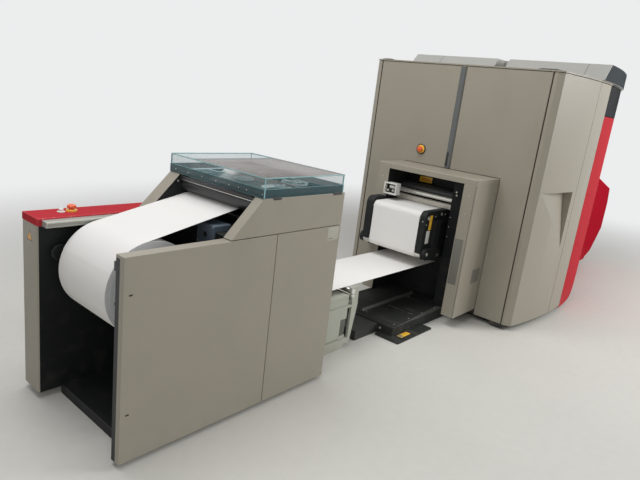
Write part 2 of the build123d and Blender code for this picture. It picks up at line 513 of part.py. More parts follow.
near_out, far_out = -PLATE_IN - CHEEK_THICK, PLATE_IN + FAR_PLATE
room_r = ROLLER_R + ROLLER_ROOM
room = rod(*lower_centre, room_r, near_out - 1, far_out + 1)
room += box(LOOP_FRONT - 20, lower_centre[0] + room_r, near_out - 1, far_out + 1, WEB_Z, lower_centre[1])
upper_seats = bearing_seat(upper_centre, ROLLER_R, -PLATE_IN, PLATE_IN)
lower_hole = journal_hole(lower_centre, near_out, far_out)
link_ends = [(*lower_centre, LINK_R), (lower_centre[0] + LINK_LONG, lower_centre[1] - LINK_DROP, LINK_END_R)]
near_plate = loop_plate(LINER_X, near_out, -PLATE_IN, NEAR_TOP) - room
near_plate -= box(FILLER_X + 5, LINER_X + 1, near_out - 1, -PLATE_IN + 1, bar_z, NEAR_TOP + 1)
turn_room = ROLLER_R + SEAT_WALL
near_plate += box(turn_centre[0] - turn_room, LINER_X, near_out, -PLATE_IN,
                  turn_centre[1] - turn_room, PLATE_BOTTOM)
near_plate -= box(*WELL_X, near_out - 1, near_out + WELL_DEEP, *WELL_Z)
near_plate += box(*BLOCK_X, near_out - BLOCK_THICK, near_out, *BLOCK_Z)
near_plate += link(link_ends, near_out - LINK_THICK, near_out)
parts["tension_cheek_near"] = near_plate - turn_seats - upper_seats - lower_hole
far_plate = loop_plate(IN_FRONT, PLATE_IN, far_out, FAR_PLATE_TOP) - room
far_link = link(link_ends, far_out, far_out + LINK_THICK - 4) & box(-WIDE, IN_FRONT, 0, WIDE, 0, WIDE)
parts["tension_cheek_far"] = far_plate + far_link - upper_seats - lower_hole
parts["loop_roller_upper"] = plain_roller(upper_centre, ROLLER_R, -PLATE_IN, PLATE_IN)
parts["loop_roller_lower"] = idler(lower_centre, ROLLER_R, near_out, far_out)
parts["turn_roller"] = plain_roller(turn_centre, ROLLER_R, -PLATE_IN, IN_FAR_IN)
parts["nip_roller"] = idler(NIP, NIP_R, FILLER_Y, IN_FAR_IN)
parts["press_roller"] = idler(DRUM, DRUM_R, FILLER_Y, IN_FAR_IN)
bar = box(*BAR_X, FILLER_Y, IN_FAR_IN, bar_z, bar_z + BAR_HEIGHT)
parts["nip_plate"] = chamfer(bar.edges().filter_by(Axis.Y).group_by(Axis.Z)[-1], SHELF_BEVEL)

# Rear module under its red cover
rear_face = outline([(TW_REAR, MODULE_LOW), (TW_REAR, MODULE_TOP), (1640, MODULE_TOP), (3100, 1070),
                     (3170, 850), (3170, 470), (2850, 160), (2660, 100), (2590, MODULE_LOW)])
lining_top = MODULE_TOP - COVER_THICK
inner_face = outline([(TW_REAR, MODULE_LOW), (TW_REAR, lining_top), (1637, lining_top), (3082, 1050),
                      (3146, 846), (3146, 480), (2838, 183), (2655, 124), (2575, MODULE_LOW)])
near_in, far_in = MODULE_NEAR + COVER_THICK, MODULE_FAR - COVER_THICK
module = prism(inner_face, near_in, far_in)
foot_y = (MODULE_NEAR + MODULE_FOOT_IN, MODULE_FAR - MODULE_FOOT_IN)
parts["rear_module"] = module + box(*MODULE_FOOT_X, *foot_y, 0, MODULE_LOW)
parts["rear_cover"] = prism(rear_face, MODULE_NEAR, MODULE_FAR) - prism(inner_face, near_in, far_in)

for name, shape in parts.items():
    export_step(shape, f"parts/{name}.step")
    print(name, len(shape.solids()), round(shape.volume / 1e6, 2), shape.is_valid)
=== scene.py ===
"""Looks of a digital production press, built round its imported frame.

Metres. X runs along the paper, +Y is the side away from the aisle and Z is up.
"""

import json
import logging
from dataclasses import dataclass
from enum import Enum
from functools import cached_property
from math import cos, pi, radians, sin, tau
from typing import Any, Callable, Sequence

import bmesh
import bpy
import numpy as np
from mathutils import Matrix, Vector

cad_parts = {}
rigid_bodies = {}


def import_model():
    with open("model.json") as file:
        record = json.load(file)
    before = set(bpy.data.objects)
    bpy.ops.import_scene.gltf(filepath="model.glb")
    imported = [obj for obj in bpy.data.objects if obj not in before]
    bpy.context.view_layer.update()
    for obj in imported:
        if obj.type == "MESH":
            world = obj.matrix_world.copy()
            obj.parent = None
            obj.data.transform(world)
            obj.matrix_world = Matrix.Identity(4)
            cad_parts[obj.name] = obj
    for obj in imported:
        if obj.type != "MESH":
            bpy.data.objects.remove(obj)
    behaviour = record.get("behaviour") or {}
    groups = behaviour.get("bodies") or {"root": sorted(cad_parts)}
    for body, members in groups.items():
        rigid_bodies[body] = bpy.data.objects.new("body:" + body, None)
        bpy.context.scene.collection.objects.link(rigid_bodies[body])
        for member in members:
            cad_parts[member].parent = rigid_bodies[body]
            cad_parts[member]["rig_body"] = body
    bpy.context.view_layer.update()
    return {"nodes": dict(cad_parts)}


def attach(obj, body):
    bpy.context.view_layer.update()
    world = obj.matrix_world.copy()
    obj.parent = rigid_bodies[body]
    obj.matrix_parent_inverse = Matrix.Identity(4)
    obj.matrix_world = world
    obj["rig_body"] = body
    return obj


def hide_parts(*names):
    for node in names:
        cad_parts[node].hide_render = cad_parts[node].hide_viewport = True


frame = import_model()
log = logging.getLogger("press")

Colour = tuple[float, float, float]
Point = tuple[float, float, float]
Span = tuple[float, float]
Profile = tuple[Span, ...]

# Axes; the reel's axle in X and Z, and half the paper's width
X, Y, Z = range(3)
REEL_AXLE = (-4.225, 0.805)
WEB_HALF = 0.249

# Distance at which corners of a mesh are joined, bend up to which faces count as flat, and least bend of
# an edge that is rounded
WELD, FLAT, ROUNDED = 2e-5, radians(0.4), radians(28)


# Shader graphs
class Value:
    """A number in a shader; its operators add Math nodes."""

    def __init__(self, graph: "Graph", socket: bpy.types.NodeSocket) -> None:
        """Keeps the output socket and its graph."""
        self.graph, self.socket = graph, socket

    def __add__(self, other: "Value | float") -> "Value":
        """Sum."""
        return self.graph.math("ADD", self, other)

    def __sub__(self, other: "Value | float") -> "Value":
        """Difference."""
        return self.graph.math("SUBTRACT", self, other)

    def __rsub__(self, other: float) -> "Value":
        """Difference from a number."""
        return self.graph.math("SUBTRACT", other, self)

    def __mul__(self, other: "Value | float") -> "Value":
        """Product."""
        return self.graph.math("MULTIPLY", self, other)

    def __abs__(self) -> "Value":
        """Size without its sign."""
        return self.graph.math("ABSOLUTE", self, 0.0)


class Graph:
    """Node tree of a material or world, with the few node shapes that the finishes use."""

    def __init__(self, owner: bpy.types.Material | bpy.types.World) -> None:
        """Empties the tree of a material or world.

        Args:
            owner: What the tree belongs to.
        """
        owner.use_nodes = True
        self.tree = owner.node_tree
        self.tree.nodes.clear()

    @cached_property
    def place(self) -> bpy.types.NodeSocket:
        """Object coordinates."""
        return self.node("ShaderNodeTexCoord").outputs["Object"]

    @cached_property
    def axes(self) -> list[Value]:
        """X, Y and Z of the object coordinates."""
        parts = self.node("ShaderNodeSeparateXYZ", {}, {0: self.place})
        return [Value(self, parts.outputs[i]) for i in range(3)]

    @cached_property
    def path(self) -> bpy.types.Node:
        """The Light Path node."""
        return self.node("ShaderNodeLightPath")

    def ray(self, kind: str) -> Value:
        """1 on rays of a kind, such as Camera, and 0 on others."""
        return Value(self, self.path.outputs[f"Is {kind} Ray"])

    def node(self, kind: str, settings: dict[str, Any] | None = None,
             inputs: dict[Any, Any] | None = None) -> bpy.types.Node:
        """Adds one node.

        Args:
            kind: Blender's type name of the node.
            settings: Its properties, set first.
            inputs: Values or links of its sockets, by name or number.

        Returns:
            The new node.
        """
        made = self.tree.nodes.new(kind)
        for key, value in (settings or {}).items():
            setattr(made, key, value)
        for key, value in (inputs or {}).items():
            if isinstance(value, Value):
                value = value.socket
            if isinstance(value, bpy.types.NodeSocket):
                self.tree.links.new(value, made.inputs[key])
            else:
                made.inputs[key].default_value = value
        return made

    def math(self, operation: str, a: "Value | float", b: "Value | float") -> Value:
        """Adds a Math node and returns its result."""
        return Value(self, self.node("ShaderNodeMath", {"operation": operation}, {0: a, 1: b}).outputs[0])

    def step(self, value: Value, low: float, high: float, start: float = 0.0, end: float = 1.0) -> Value:
        """Smooth step.

        Args:
            value: What is mapped.
            low: Value at which the step starts.
            high: Value at which it is over.
            start: Result at low.
            end: Result at high.

        Returns:
            The mapped value.
        """
        inputs = {0: value, 1: low, 2: high, 3: start, 4: end}
        made = self.node("ShaderNodeMapRange", {"interpolation_type": "SMOOTHSTEP"}, inputs)
        return Value(self, made.outputs[0])

    def noise(self, scale: float, detail: float = 3.0, stretch: Point = (1.0, 1.0, 1.0)) -> Value:
        """Fractal noise.

        Args:
            scale: Waves in a metre.
            detail: Octaves.
            stretch: Factors on the three coordinates.

        Returns:
            Noise, about 0.5 on average.
        """
        place = self.place
        if stretch != (1.0, 1.0, 1.0):
            scaled = self.node("ShaderNodeVectorMath", {"operation": "MULTIPLY"}, {0: place, 1: stretch})
            place = scaled.outputs[0]
        inputs = {"Vector": place, "Scale": scale, "Detail": detail}
        return Value(self, self.node("ShaderNodeTexNoise", {}, inputs).outputs[0])

    def mix(self, share: "Value | float", first: Any, second: Any) -> bpy.types.NodeSocket:
        """Mixes two colours.

        Args:
            share: 0 gives the first colour and 1 the second.
            first: A colour or its socket.
            second: A colour or its socket.

        Returns:
            The mixed colour's socket.
        """
        pair = [(*c, 1.0) if isinstance(c, tuple) else c for c in (first, second)]
        made = self.node("ShaderNodeMix", {"data_type": "RGBA"}, {0: share, 6: pair[0], 7: pair[1]})
        return made.outputs[2]

    def join(self, share: "Value | float", first: bpy.types.Node, second: bpy.types.Node, end: str) -> None:
        """Mixes two shaders and ends the tree.

        Args:
            share: 0 gives the first shader and 1 the second.
            first: Node of a shader.
            second: Node of a shader.
            end: What the tree's output is for, Material or World.
        """
        mixed = self.node("ShaderNodeMixShader", {}, {0: share, 1: first.outputs[0], 2: second.outputs[0]})
        self.node(f"ShaderNodeOutput{end}", {}, {"Surface": mixed.outputs[0]})

    def bump(self, height: Value, depth: float, before: Any = None) -> bpy.types.NodeSocket:
        """Bump of a height from 0 to 1.

        Args:
            height: The height.
            depth: Its full size in metres.
            before: A normal to build on.

        Returns:
            The bent normal's socket.
        """
        inputs = {"Strength": 1.0, "Distance": depth, "Height": height}
        if before is not None:
            inputs["Normal"] = before
        return self.node("ShaderNodeBump", {}, inputs).outputs[0]

    def surface(self, colour: Any, rough: Any, normal: Any = None, **fixed: Any) -> None:
        """Ends the tree in a Principled shader.

        Args:
            colour: Socket of the base colour.
            rough: Roughness, a number or a value of the graph.
            normal: Normal's socket.
            fixed: Other inputs by their names with underscores for spaces.
        """
        inputs: dict[str, Any] = {"Base Color": colour, "Roughness": rough}
        inputs.update({key.replace("_", " "): value for key, value in fixed.items()})
        if normal is not None:
            inputs["Normal"] = normal
        shader = self.node("ShaderNodeBsdfPrincipled", {}, inputs)
        self.node("ShaderNodeOutputMaterial", {}, {"Surface": shader.outputs[0]})


def shade(colour: Colour, factor: float) -> Colour:
    """A colour made lighter or darker by a factor."""
    return tuple(min(1.0, channel * factor) for channel in colour)


# Tones that several finishes share, dust, bare metal where a coat is chipped, and the reel's windings, whose
# darker, cooler tone is partly painted shade
GREY_TONE = (0.315, 0.286, 0.230)
RED_TONE = (0.46, 0.044, 0.054)
FLOOR_DUST = (0.36, 0.33, 0.28)
GREY_DUST = (0.17, 0.16, 0.14)
BARE_CHIP = (0.5, 0.49, 0.46)
LINING = (0.012, 0.013, 0.013)
SHADED_WINDING, PALE_WINDING = (0.58, 0.60, 0.62), (0.80, 0.805, 0.80)


# Finishes
@dataclass(frozen=True)
class Finish:
    """What a surface is made of."""

    name: str
    colour: Colour
    rough: float = 0.5

    def material(self) -> bpy.types.Material:
        """The finish as a material, built once.

        Returns:
            The material.
        """
        found = bpy.data.materials.get(self.name)
        if found is None:
            found = bpy.data.materials.new(self.name)
            self.dress(Graph(found))
        return found

    def dress(self, graph: Graph) -> None:
        """Builds the nodes; each kind of finish has its own."""
        raise NotImplementedError


@dataclass(frozen=True)
class Powder(Finish):
    """Baked powder coat: fine orange peel, slow mottling, hand rubs, and dust towards the floor.

    Past lined_from in Y and under lined_top the coat is black, as on a panel's lined inner side.
    """

    peel: float = 0.00012
    dust: float = 0.5
    lined_from: float | None = None
    lined_top: float = 1.085
    worn: float = 0.0
    shine: float = 0.4

    def dress(self, graph: Graph) -> None:
        """Colour is mottled, then dusted low down, then chipped where worn; peel is a fine bump.

        Args:
            graph: The tree of the material.
        """
        _, y, z = graph.axes
        slow, fine = graph.noise(1.7, 4.0), graph.noise(38.0, 2.0)
        colour = graph.mix(slow * 0.7 + fine * 0.3, shade(self.colour, 0.93), shade(self.colour, 1.06))
        dust = graph.step(z + slow * 0.25, 0.42, 0.08) * graph.step(graph.noise(9.0, 5.0), 0.3, 0.7)
        colour = graph.mix(dust * self.dust, colour, FLOOR_DUST)
        rubs = graph.step(graph.noise(5.0, 4.0, (1.0, 1.0, 0.45)), 0.52, 0.68)
        colour = graph.mix(rubs * 0.10, colour, shade(self.colour, 0.72))
        if self.worn:
            chips = graph.step(graph.noise(60.0, 3.0), 0.56, 0.64)
            colour = graph.mix(chips * self.worn, colour, BARE_CHIP)
        rough = slow * 0.12 + (self.rough - 0.06) - rubs * 0.08 + dust * 0.2
        if self.lined_from is not None:
            lined = graph.step(y, self.lined_from - 0.001, self.lined_from)
            lined = lined * graph.step(z, self.lined_top + 0.001, self.lined_top - 0.001)
            colour = graph.mix(lined, colour, LINING)
        peel = graph.bump(graph.noise(420.0, 2.0), self.peel)
        graph.surface(colour, rough, graph.bump(slow, 0.0006, peel), Specular_IOR_Level=self.shine)


@dataclass(frozen=True)
class Grain(Finish):
    """Black coat or rubber with a fine pebble grain, greyed by streaks of dust, more of it towards the floor.
    """

    size: float = 260.0
    depth: float = 0.0003
    dust: float = 0.35
    shine: float = 0.22

    def dress(self, graph: Graph) -> None:
        """Pebbles come from cell noise; dust lies where a slow noise is high, more near the floor.

        Args:
            graph: The tree of the material.
        """
        cells = graph.node("ShaderNodeTexVoronoi", {}, {"Vector": graph.place, "Scale": self.size})
        pebble = Value(graph, cells.outputs["Distance"])
        slow, streak = graph.noise(3.1, 5.0), graph.noise(14.0, 5.0, (1.0, 0.35, 1.0))
        colour = graph.mix(slow, shade(self.colour, 0.75), shade(self.colour, 1.35))
        dust = graph.step(streak, 0.5, 0.78) * graph.step(graph.axes[Z], 0.7, 0.02, 0.35, 1.0)
        colour = graph.mix(dust * self.dust, colour, GREY_DUST)
        rough = slow * 0.16 + (self.rough - 0.08) + dust * 0.15
        graph.surface(colour, rough, graph.bump(pebble, self.depth), Specular_IOR_Level=self.shine)


@dataclass(frozen=True)
class Ground(Finish):
    """Ground or turned metal with fine lines along one axis or round it."""

    lines: Point = (260.0, 6.0, 260.0)
    depth: float = 0.00005
    metal: float = 1.0

    def dress(self, graph: Graph) -> None:
        """Lines are noise stretched along the grain; slow noise dulls patches.

        Args:
            graph: The tree of the material.
        """
        lines, slow = graph.noise(1.0, 2.0, self.lines), graph.noise(7.0, 4.0)
        colour = graph.mix(lines * 0.6 + slow * 0.4, shade(self.colour, 0.72), shade(self.colour, 1.18))
        rough = slow * 0.22 + lines * 0.12 + (self.rough - 0.17)
        graph.surface(colour, rough, graph.bump(lines, self.depth), Metallic=self.metal)


@dataclass(frozen=True)
class Paper(Finish):
    """Uncoated paper: fibres, slow unevenness, and the edges of its windings on the ends of a reel, darker
    and cooler than the paper there as painted shade.
    """

    axle: Span | None = None
    half: float = 0.0

    def dress(self, graph: Graph) -> None:
        """Fibres are fine noise; on a reel's ends rings follow the distance from its axle in X and Z.

        Args:
            graph: The tree of the material.
        """
        fibre, slow = graph.noise(900.0, 3.0), graph.noise(4.0, 4.0)
        colour = graph.mix(slow * 0.6 + fibre * 0.4, shade(self.colour, 0.96), shade(self.colour, 1.03))
        normal = graph.bump(fibre, 0.00004)
        rough = fibre * 0.1 + (self.rough - 0.05)
        if self.axle is not None:
            x, y, z = graph.axes
            across, up = x - self.axle[0], z - self.axle[1]
            radius = graph.math("SQRT", across * across + up * up, 0.0)
            wave = graph.math("SINE", radius * 2600.0 + slow * 9.0, 0.0) * 0.5 + 0.5
            inputs = {"W": radius * 90.0, "Detail": 5.0}
            noise = graph.node("ShaderNodeTexNoise", {"noise_dimensions": "1D"}, inputs)
            bands = Value(graph, noise.outputs[0])
            face = graph.step(abs(y), self.half - 0.0008, self.half - 0.0002)
            # painted shade: the rings run between a darker, cooler tone and a pale one, so the reel's ends
            # look shaded as well as wound
            rings = graph.mix(wave * 0.3 + bands * 0.7, SHADED_WINDING, PALE_WINDING)
            colour = graph.mix(face, colour, rings)
            normal = graph.bump(wave * face, 0.0001, normal)
        graph.surface(colour, rough, normal)


@dataclass(frozen=True)
class Sheet(Finish):
    """Clear or smoked plastic sheet: tinted, glossy, with wiping marks; one given a glow shines in its own
    colour, painted light.
    """

    alpha: float = 0.4
    shine: float = 0.35
    painted_glow: float = 0.0

    def dress(self, graph: Graph) -> None:
        """Alpha grows with wiping marks; the painted glow has the sheet's colour.

        Args:
            graph: The tree of the material.
        """
        wipes = graph.noise(6.0, 5.0, (1.0, 0.3, 1.0))
        fine = graph.noise(140.0, 3.0)
        colour = graph.mix(wipes, shade(self.colour, 0.8), shade(self.colour, 1.15))
        rough = wipes * 0.16 + fine * 0.05 + (self.rough - 0.05)
        cover = graph.step(wipes, 0.35, 0.8) * (self.alpha * 0.3) + self.alpha
        graph.surface(colour, rough, graph.bump(wipes, 0.0002), Alpha=cover, IOR=1.49,
                      Specular_IOR_Level=self.shine, Emission_Color=colour, Emission_Strength=self.painted_glow)


@dataclass(frozen=True)
class Gloss(Finish):
    """Glossy moulded plastic or enamel with a clear coat, small scratches and finger marks."""

    coat: float = 0.6
    shine: float = 0.5
    fading: bool = False

    def dress(self, graph: Graph) -> None:
        """Marks lift the roughness; a faint wave bends the reflections; a fading coat thins seen edge on.

        Args:
            graph: The tree of the material.
        """
        marks, scratch = graph.noise(11.0, 5.0), graph.noise(1.0, 2.0, (30.0, 400.0, 90.0))
        colour = graph.mix(marks, shade(self.colour, 0.88), shade(self.colour, 1.1))
        rough = graph.step(marks, 0.4, 0.75) * 0.14 + graph.step(scratch, 0.62, 0.7) * 0.1 + self.rough
        coat: Any = self.coat
        if self.fading:
            facing = graph.node("ShaderNodeLayerWeight", {}, {"Blend": 0.5}).outputs["Facing"]
            coat = (1.0 - Value(graph, facing)) * self.coat
        graph.surface(colour, rough, graph.bump(marks, 0.0003), Coat_Weight=coat, Coat_Roughness=0.06,
                      Specular_IOR_Level=self.shine)


class Dress(Enum):
    """Every finish of the press."""

    HOUSING = Powder("housing_grey", GREY_TONE, 0.46)
    HOUSING_EDGE = Powder("housing_grey_edge", shade(GREY_TONE, 1.06), 0.4, worn=0.5)
    LINED = Powder("housing_grey_lined", GREY_TONE, 0.46, lined_from=-0.482)
    COOL = Powder("housing_grey_cool", (0.30, 0.295, 0.26), 0.42)
    # partly painted shade: on the tower it also darkens everything under the plinth line, where shade falls
    # under the body
    CORE = Powder("inner_dark_coat", (0.018, 0.018, 0.017), 0.6, dust=0.2)
    RED = Powder("red_coat", RED_TONE, 0.55, dust=0.1, shine=0.0)
    RED_EDGE = Powder("red_coat_edge", shade(RED_TONE, 1.25), 0.42, worn=0.3, dust=0.1, shine=0.15)
    DEEP_RED = Powder("deep_red_coat", (0.36, 0.010, 0.022), 0.5, dust=0.1, shine=0.0)
    PALE = Powder("pale_grey_green", (0.40, 0.41, 0.345), 0.42, dust=0.7)
    PALE_EDGE = Powder("pale_grey_edge", (0.47, 0.475, 0.41), 0.36, worn=0.8, dust=0.5)
    ROOF = Powder("roof_pale", (0.42, 0.415, 0.385), 0.4, dust=0.0)
    BLACK = Grain("black_textured", (0.010, 0.0115, 0.011), 0.56, dust=0.10)
    BLACK_EDGE = Grain("black_textured_edge", (0.035, 0.038, 0.036), 0.42, dust=0.3)
    MAT = Grain("black_tread", (0.020, 0.022, 0.020), 0.66, size=120.0, depth=0.0009, dust=0.22)
    TUBE = Grain("worn_tube", (0.075, 0.074, 0.066), 0.4, size=500.0, depth=0.0001, dust=0.2, shine=0.4)
    STEP = Grain("black_ribbed", (0.034, 0.035, 0.032), 0.6, size=90.0, depth=0.0012, dust=0.3)
    GRAPHITE = Grain("graphite_roller", (0.040, 0.041, 0.042), 0.36, size=900.0, depth=0.00005, dust=0.1,
                     shine=0.5)
    STEEL = Ground("ground_steel", (0.62, 0.61, 0.58), 0.27)
    TURNED = Ground("turned_steel", (0.5, 0.5, 0.49), 0.3, lines=(30.0, 500.0, 30.0))
    ZINC = Ground("zinc_screw", (0.62, 0.62, 0.58), 0.34, lines=(220.0, 220.0, 220.0))
    PAPER = Paper("paper_web", (0.80, 0.785, 0.755), 0.72)
    REEL = Paper("paper_reel_roll", (0.79, 0.77, 0.735), 0.72, axle=REEL_AXLE, half=WEB_HALF)
    TEAL = Sheet("teal_rail", (0.040, 0.090, 0.100), 0.16, alpha=0.60)
    PANE = Sheet("clear_pane", (0.13, 0.28, 0.30), 0.1, alpha=0.11)
    SMOKED = Sheet("smoked_lid", (0.105, 0.075, 0.055), 0.11, alpha=0.56, shine=0.45)
    # painted light: the pale disc, the plates' edges and the clear wheels glow a little, to brighten them in
    # the lid's shade
    ICE = Sheet("pale_blue_disc", (0.78, 0.93, 0.97), 0.18, alpha=0.97, painted_glow=0.22)
    WHEEL = Sheet("clear_wheel", (0.74, 0.84, 0.86), 0.16, alpha=0.85, painted_glow=0.09)
    CLEAR = Sheet("clear_shelf", (0.34, 0.60, 0.62), 0.12, alpha=0.22)
    # painted highlight: the sheets' edges take this lighter, opaque teal in place of light caught in the
    # acrylic
    TEAL_EDGE = Gloss("teal_edge", (0.26, 0.49, 0.51), 0.2, coat=0.2)
    GLASS = Gloss("dark_glass", (0.010, 0.012, 0.014), 0.10, coat=0.9, shine=0.0, fading=True)
    VISOR = Gloss("roof_visor", (0.026, 0.034, 0.040), 0.10, coat=0.9, shine=0.0, fading=True)
    SLATE = Powder("slate_blue", (0.115, 0.15, 0.185), 0.42, dust=0.2)
    SHADE = Powder("plate_grey", (0.175, 0.172, 0.145), 0.4, dust=0.2)
    AMBER = Gloss("amber_print", (0.74, 0.33, 0.02), 0.4, coat=0.1)
    # painted sheen: these two are only part metallic, so their pale base colour shows as a diffuse brightness
    # in place of reflections
    BRIGHT = Ground("bright_roller", (0.86, 0.84, 0.78), 0.30, lines=(60.0, 3.0, 60.0), metal=0.55)
    BRUSHED = Ground("brushed_bar", (0.56, 0.53, 0.46), 0.36, lines=(9.0, 500.0, 500.0), depth=0.00015,
                     metal=0.35)
    STRIP = Gloss("handle_strip", (0.10, 0.107, 0.105), 0.3, coat=0.2)
    YELLOW = Gloss("yellow_plate", (0.90, 0.52, 0.04), 0.34, coat=0.3)
    ORANGE = Gloss("stop_dome", (0.80, 0.11, 0.018), 0.26, coat=0.5)
    WHITE = Gloss("white_plastic", (0.74, 0.74, 0.69), 0.32, coat=0.2)
    LABEL = Gloss("bare_label", (0.40, 0.385, 0.32), 0.45, coat=0.1)
    DULL = Gloss("dull_label", (0.20, 0.20, 0.18), 0.5, coat=0.0)
    INK = Gloss("black_plastic", (0.012, 0.012, 0.012), 0.34, coat=0.2)

    def paint(self) -> bpy.types.Material:
        """The finish's material."""
        return self.value.material()


# Surfaces
@dataclass(frozen=True)
class Face:
    """A flat face square to an axis: its place on the axis and the way, 1 or -1, that it looks."""

    axis: int
    place: float
    way: int

    def at(self, spot: Span, out: float = 0.0) -> Point:
        """A point over the face.

        Args:
            spot: Its coordinates along the face, in the order X, Y, Z.
            out: Its height over the face.

        Returns:
            The point.
        """
        point = list(spot)
        point.insert(self.axis, self.place + self.way * out)
        return tuple(point)


@dataclass(frozen=True)
class Inlay:
    """A thin block set into a face: its corners on the face, radii, height over it and depth under it."""

    low: Span
    high: Span
    corner: float = 0.003
    edge: float = 0.0003
    proud: float = 0.0006
    deep: float = 0.002


def circle(count: int) -> np.ndarray:
    """Points (cos a, sin a) at even angles from 0, the last one left out."""
    angle = tau * np.arange(count) / count
    return np.stack([np.cos(angle), np.sin(angle)], axis=1)


def rounded_outline(half_u: float, half_v: float, radius: float, steps: int = 6) -> np.ndarray:
    """Rounded rectangle about the origin.

    Each corner is a quarter circle of the radius about (±(half_u − r), ±(half_v − r)).

    Args:
        half_u: Half length in the first direction.
        half_v: Half length in the second.
        radius: Corner radius.
        steps: Steps in a quarter circle.

    Returns:
        Points (n, 2), anticlockwise.
    """
    angle = np.linspace(0, pi / 2, steps + 1)
    quarter = np.arange(4)[:, None] * (pi / 2) + angle[None, :]
    middle = np.array([[1, 1], [-1, 1], [-1, -1], [1, -1]]) * (half_u - radius, half_v - radius)
    ring = middle[:, None, :] + radius * np.stack([np.cos(quarter), np.sin(quarter)], axis=2)
    return ring.reshape(-1, 2)


